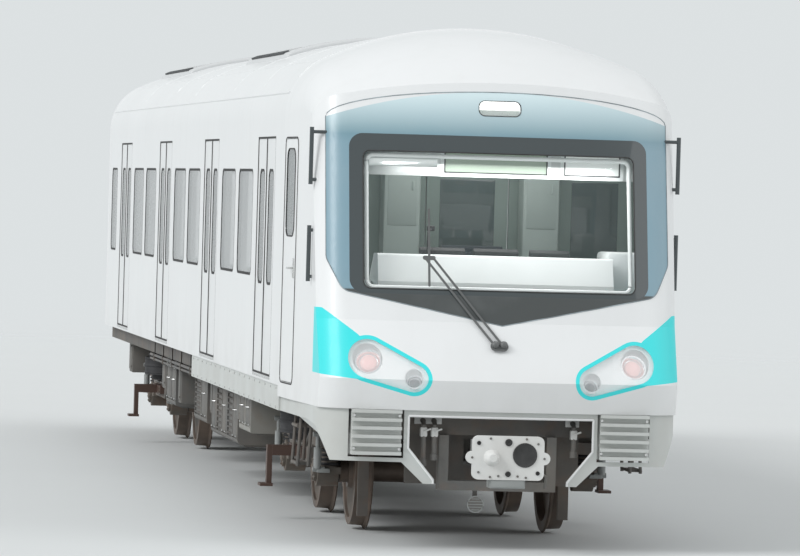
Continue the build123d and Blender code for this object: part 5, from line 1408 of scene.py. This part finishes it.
class METRO_OT_cab(CarOperator):
    """Fit the cab: reveal strips, blind, cabinets, screens, levers, panes, lamp, frames and seat pads"""

    bl_idname = "metro.cab"
    bl_label = "Cab interior"

    # X and width of each screen on the console, and X and half width of each display of the header
    screens = ((-0.35, 0.34), (0.05, 0.34), (0.45, 0.30))
    displays = ((0.0, 0.385), (0.715, 0.21))
    display_level = 2.78
    cabinet_x, panel_x, pane_x = 0.53, 1.004, 0.98
    # Faces of the partition behind the nose, and the middle of its windows
    pane_planes, pane_level = (2.2335, 2.2765), 2.35

    def make(self, colours, sizes):
        self.linings(Skin(HOOD_NODES, FORE))
        self.console_gear()
        self.panes()
        light = Forms()
        light.block(point(0.0, 2.19, 3.25), (1.2, 0.1, 0.12), 0.02, 3)
        light.piece("cab_light", "light", slot="lining_white")
        self.display_frames()
        self.seat_pads()

    def linings(self, skin):
        white, cabinets = Forms(), Forms()
        loop = spread(rounded(1.96, 0.96, 0.05, (0.0, level(SCREEN_LEVEL))), 0.05)
        white.tube([skin.at(x, z, -0.045) for x, z in loop], 0.016, 8, closed=True)
        white.tube([skin.at(-0.96 + 0.1 * k, level(2.79), -0.075) for k in range(6)], 0.032, 12)
        for side in (-1, 1):
            x = side * self.cabinet_x
            cabinets.block(point(x, 2.105, 2.05), (0.28, 0.26, 1.9), 0.02)
            for z in (1.75, 2.6):
                cabinets.block(point(x, 1.974, z), (0.22, 0.006, 0.6), 0.002)
                cabinets.block(point(x + 0.08, 1.968, z), (0.02, 0.012, 0.07), 0.004)
        white.block(point(self.panel_x, 1.15, 1.98), (0.272, 0.5, 0.34), 0.03)
        white.block(point(-self.panel_x, 1.15, 1.80), (0.272, 0.5, 0.2), 0.03)
        white.piece("cab_panels", "console", slot="lining_white")
        cabinets.piece("cab_cabinets", "cabinet", slot="lining_white")

    def console_gear(self):
        dark, screens = Forms(), Forms()
        lean = Matrix.Rotation(radians(30), 4, "X")
        for x, width in self.screens:
            dark.block(point(x, 1.03, 2.06), (width, 0.05, 0.19), 0.01, turn=lean)
            screens.block(point(x, 1.0525, 2.073), (width - 0.04, 0.006, 0.15), 0.001, turn=lean)
        self.levers(dark)
        dark.piece("cab_controls", "black", slot="wiper_black")
        screens.piece("cab_screens", "screen_glow", slot="display_panel")

    def panes(self):
        """Two panes in each window of the partition and in its leaf."""
        fixed, leaf = Forms(), Forms()
        for d in self.pane_planes:
            for x in (-self.pane_x, self.pane_x):
                fixed.block(point(x, d, self.pane_level), (0.36, 0.008, 0.62), 0.003)
            leaf.block(point(0.0, d, self.pane_level), (0.42, 0.008, 0.62), 0.003)
        fixed.piece("partition_panes", "pane", slot="side_glass")
        leaf.piece("partition_leaf_pane", "pane", "partition_leaf", "side_glass")

    def display_frames(self):
        frames, lines = Forms(), Forms()
        for x, half in self.displays:
            at = (x, level(self.display_level))
            outer = rounded(2 * half + 0.05, 0.21, 0.012, at)
            inner = rounded(2 * half - 0.004, 0.156, 0.006, at)
            frames.ring(outer, inner, station(0.766), station(0.7715), facing_front)
            line = [rounded(2 * half - a, 0.16 - a, 0.006, at) for a in (0.002, 0.022)]
            lines.ring(*line, station(0.7655), station(0.7705), facing_front)
        frames.piece("display_frames", "console", slot="lining_white")
        lines.piece("display_lines", "black", slot="display_panel")

    def levers(self, forms):
        knob = ((0.002, -0.02), (0.045, -0.02), (0.045, 0.012), (0.02, 0.03), (0.012, 0.1), (0.002, 0.105))
        forms.lathe(knob, point(-0.62, 1.1, 1.955), None, 24)
        forms.block(point(-0.62, 1.1, 2.065), (0.07, 0.035, 0.035), 0.012, 3)
        for k in range(7):
            x = 0.66 + 0.03 * k
            forms.rod(point(x, 1.1, 1.93), point(x, 1.1, 1.965), 0.010, 10)
        stem = ((-0.47, 0.90, 2.07), (-0.47, 0.90, 2.2), (-0.465, 0.93, 2.26), (-0.44, 0.98, 2.285))
        forms.tube([point(x, d, z) for x, d, z in stem], 0.009, 8)
        forms.block(point(-0.44, 0.99, 2.29), (0.06, 0.03, 0.04), 0.008)

    def seat_pads(self):
        """Crowned pads that stand a little proud of the moulded seat."""
        places = (
            ("seat_pad", point(0.0, 1.615, 1.609), 0.42, 0.34, -3, 4),
            ("seat_back_pad", point(0.0, 1.845, 1.89), 0.40, 0.46, 81, 5),
        )
        for name, centre, wide, deep, lean, channels in places:
            pad = Forms()
            turn = Matrix.Rotation(radians(lean), 4, "X")
            pad.pad(Matrix.Translation(centre) @ turn, wide, deep, 0.011, channels)
            pad.piece(name, "cloth", slot="driver_fabric", smooth=80.0)


class METRO_OT_rear_end(CarOperator):
    """Fit the gangway's end frame and tread plates, and the end wall's sockets and handrails"""

    bl_idname = "metro.rear_end"
    bl_label = "Rear end"

    # The passage's lower edge above the rail and half its height, and the tread plate's height
    passage_foot, passage_half = 1.04, 1.09
    tread_level = 1.154

    def make(self, colours, sizes):
        steel_parts = Forms()
        middle = level(self.passage_foot) + self.passage_half
        outer = rounded(1.712, 2.192, 0.235, (0.0, middle))
        inner = rounded(1.476, 1.956, 0.12, (0.0, middle))
        steel_parts.ring(outer, inner, REAR_Y + 0.2385, REAR_Y + 0.2512, facing_front)
        for x, z in spread(rounded(1.594, 2.074, 0.178, (0.0, middle), 2), 0.34):
            steel_parts.rod((x, REAR_Y + 0.24, z), (x, REAR_Y + 0.256, z), 0.011, 6)
        plate = level(self.tread_level)
        steel_parts.block((0.0, REAR_Y + 0.125, plate), (1.24, 0.24, 0.006), 0.002)
        ramp = Matrix.Rotation(radians(14), 4, "X")
        steel_parts.block((0.0, REAR_Y - 0.097, level(1.131)), (1.24, 0.214, 0.006), 0.002, turn=ramp)
        for k in range(-9, 10):
            steel_parts.block((0.06 * k, REAR_Y + 0.125, plate + 0.004), (0.012, 0.21, 0.004), 0.001)
        steel_parts.piece("gangway_frame", "bright", slot="pole_steel")

        rails = Forms()
        path = ((-0.004, 1.5), (0.05, 1.5), (0.06, 1.51), (0.06, 2.39), (0.05, 2.4), (-0.004, 2.4))
        rails.tube([(1.1, REAR_Y + out, level(z)) for out, z in path], 0.014, 10)
        rails.copy_across()
        rails.piece("end_handrails", "pole", slot="pole_steel")

        sockets = Forms()
        sockets.block((1.0, REAR_Y + 0.035, level(1.25)), (0.3, 0.09, 0.18), 0.012)
        sockets.block((1.0, REAR_Y + 0.083, level(1.25)), (0.24, 0.012, 0.12), 0.005)
        sockets.rod((0.9, REAR_Y + 0.085, level(1.315)), (1.1, REAR_Y + 0.085, level(1.315)), 0.007, 8)
        sockets.block((0.75, REAR_Y - 0.055, level(0.90)), (0.12, 0.1, 0.09), 0.008)
        sockets.copy_across()
        sockets.piece("end_sockets", "under", slot="underframe_grey")


class METRO_OT_stage(bpy.types.Operator):
    """Set the floor, the background, the light and the camera"""

    bl_idname = "metro.stage"
    bl_label = "Stage"

    camera_place = (-6.1196, -50.9799, 2.6264)
    camera_aim = (-0.45, -7.0, 1.92)
    camera_roll = 0.0285
    floor_reach = 90.0
    fill_share = 0.38

    def execute(self, context):
        stage = context.scene.metro_stage
        self.floor(tuple(stage.floor))
        self.world(context.scene, stage)
        self.lamps(stage)
        self.camera(context.scene, stage)
        return {"FINISHED"}

    def floor(self, colour):
        """A level disc that keeps the car's shadow and fades into the background further out."""
        reach = self.floor_reach
        bm = bmesh.new()
        bm.faces.new([bm.verts.new((x, y, 0.0)) for x, y in circle((0.0, 0.0), reach, 96)])
        mesh = bpy.data.meshes.new("stage_floor")
        bm.to_mesh(mesh)
        bm.free()
        f = Finish("stage_floor")
        across, along = f.axis("X") / (0.55 * reach), f.axis("Y") / (0.85 * reach)
        away = (across * across + along * along) ** 0.5
        fade = 1.0 - away.ramp(0.25, 1.0)
        worn = f.mix(colour, tuple(c * 0.97 for c in colour), f.noise(0.6, 4.0))
        upper_side = 1.0 - f.node("ShaderNodeNewGeometry", output="Backfacing")
        mesh.materials.append(f.surface(Base_Color=worn, Roughness=0.85, Alpha=fade * fade * upper_side))
        made = bpy.data.objects.new("stage_floor", mesh)
        bpy.context.scene.collection.objects.link(made)

    def world(self, scene, stage):
        world = bpy.data.worlds.new("studio")
        world.use_nodes = True
        tree = world.node_tree
        tree.nodes.clear()
        output = tree.nodes.new("ShaderNodeOutputWorld")
        seen = tree.nodes.new("ShaderNodeBackground")
        seen.inputs["Color"].default_value = (*stage.background, 1.0)
        light = tree.nodes.new("ShaderNodeBackground")
        light.inputs["Color"].default_value = (0.97, 0.99, 1.0, 1.0)
        light.inputs["Strength"].default_value = stage.sky
        path = tree.nodes.new("ShaderNodeLightPath")
        share = path.outputs["Is Camera Ray"]
        for ray in ("Is Glossy Ray", "Is Transmission Ray"):
            either = tree.nodes.new("ShaderNodeMath")
            either.operation = "MAXIMUM"
            tree.links.new(share, either.inputs[0])
            tree.links.new(path.outputs[ray], either.inputs[1])
            share = either.outputs[0]
        mix = tree.nodes.new("ShaderNodeMixShader")
        tree.links.new(share, mix.inputs[0])
        tree.links.new(light.outputs[0], mix.inputs[1])
        tree.links.new(seen.outputs[0], mix.inputs[2])
        tree.links.new(mix.outputs[0], output.inputs["Surface"])
        scene.world = world

    def lamps(self, stage):
        for name, strength, turn, spread_angle in (
            ("key", stage.sun, (55, 0, -68), 30),
            ("fill", stage.sun * self.fill_share, (60, 0, 70), 60),
        ):
            lamp = bpy.data.lights.new(name, "SUN")
            lamp.energy = strength
            lamp.angle = radians(spread_angle)
            made = bpy.data.objects.new(name, lamp)
            made.rotation_euler = [radians(a) for a in turn]
            bpy.context.scene.collection.objects.link(made)
        for name, share, depth, place in (
            ("cab_ceiling_lamp", 0.5, 0.7, point(0.0, 1.35, 3.12)),
            ("cab_header_lamp", 0.5, 0.1, point(0.0, 0.66, 2.77)),
        ):
            lamp = bpy.data.lights.new(name, "AREA")
            lamp.shape, lamp.size, lamp.size_y, lamp.energy = "RECTANGLE", 1.7, depth, stage.cab * share
            made = bpy.data.objects.new(name, lamp)
            made.location = place
            made.visible_camera = False
            bpy.context.scene.collection.objects.link(made)

    def camera(self, scene, stage):
        data = bpy.data.cameras.new("camera")
        data.lens = stage.lens
        data.sensor_width = 36.0
        data.clip_end = 2000.0
        made = bpy.data.objects.new("camera", data)
        place = Vector(self.camera_place)
        look = (Vector(self.camera_aim) - place).to_track_quat("-Z", "Y").to_matrix()
        look = look @ Matrix.Rotation(self.camera_roll, 3, "Z")
        made.matrix_world = Matrix.Translation(place) @ look.to_4x4()
        scene.collection.objects.link(made)
        scene.camera = made
        scene.view_settings.view_transform = "Standard"


OPERATORS = (
    METRO_OT_finishes,
    METRO_OT_front_trim,
    METRO_OT_headlamps,
    METRO_OT_front_fittings,
    METRO_OT_coupler_fittings,
    METRO_OT_side_seals,
    METRO_OT_door_fittings,
    METRO_OT_roof_fittings,
    METRO_OT_underfloor,
    METRO_OT_bogie_fittings,
    METRO_OT_wheel_fittings,
    METRO_OT_saloon,
    METRO_OT_cab,
    METRO_OT_rear_end,
    METRO_OT_stage,
)


class METRO_PT_panel(bpy.types.Panel):
    """Lists the operators in the order in which they are run"""

    bl_idname = "METRO_PT_panel"
    bl_label = "Metro car"
    bl_space_type = "VIEW_3D"
    bl_region_type = "UI"
    bl_category = "Metro car"

    def draw(self, context):
        for operator in OPERATORS:
            self.layout.operator(operator.bl_idname)


GROUPS = (("metro_colours", MetroColours), ("metro_sizes", MetroSizes), ("metro_stage", MetroStage))


def register():
    for name, group in GROUPS:
        bpy.utils.register_class(group)
        setattr(bpy.types.Scene, name, PointerProperty(type=group))
    for made in (*OPERATORS, METRO_PT_panel):
        bpy.utils.register_class(made)


def unregister():
    for made in (METRO_PT_panel, *reversed(OPERATORS)):
        bpy.utils.unregister_class(made)
    for name, group in reversed(GROUPS):
        delattr(bpy.types.Scene, name)
        bpy.utils.unregister_class(group)


def main():
    register()
    for operator in OPERATORS:
        family, name = operator.bl_idname.split(".")
        getattr(getattr(bpy.ops, family), name)()


if __name__ == "__main__":
    main()
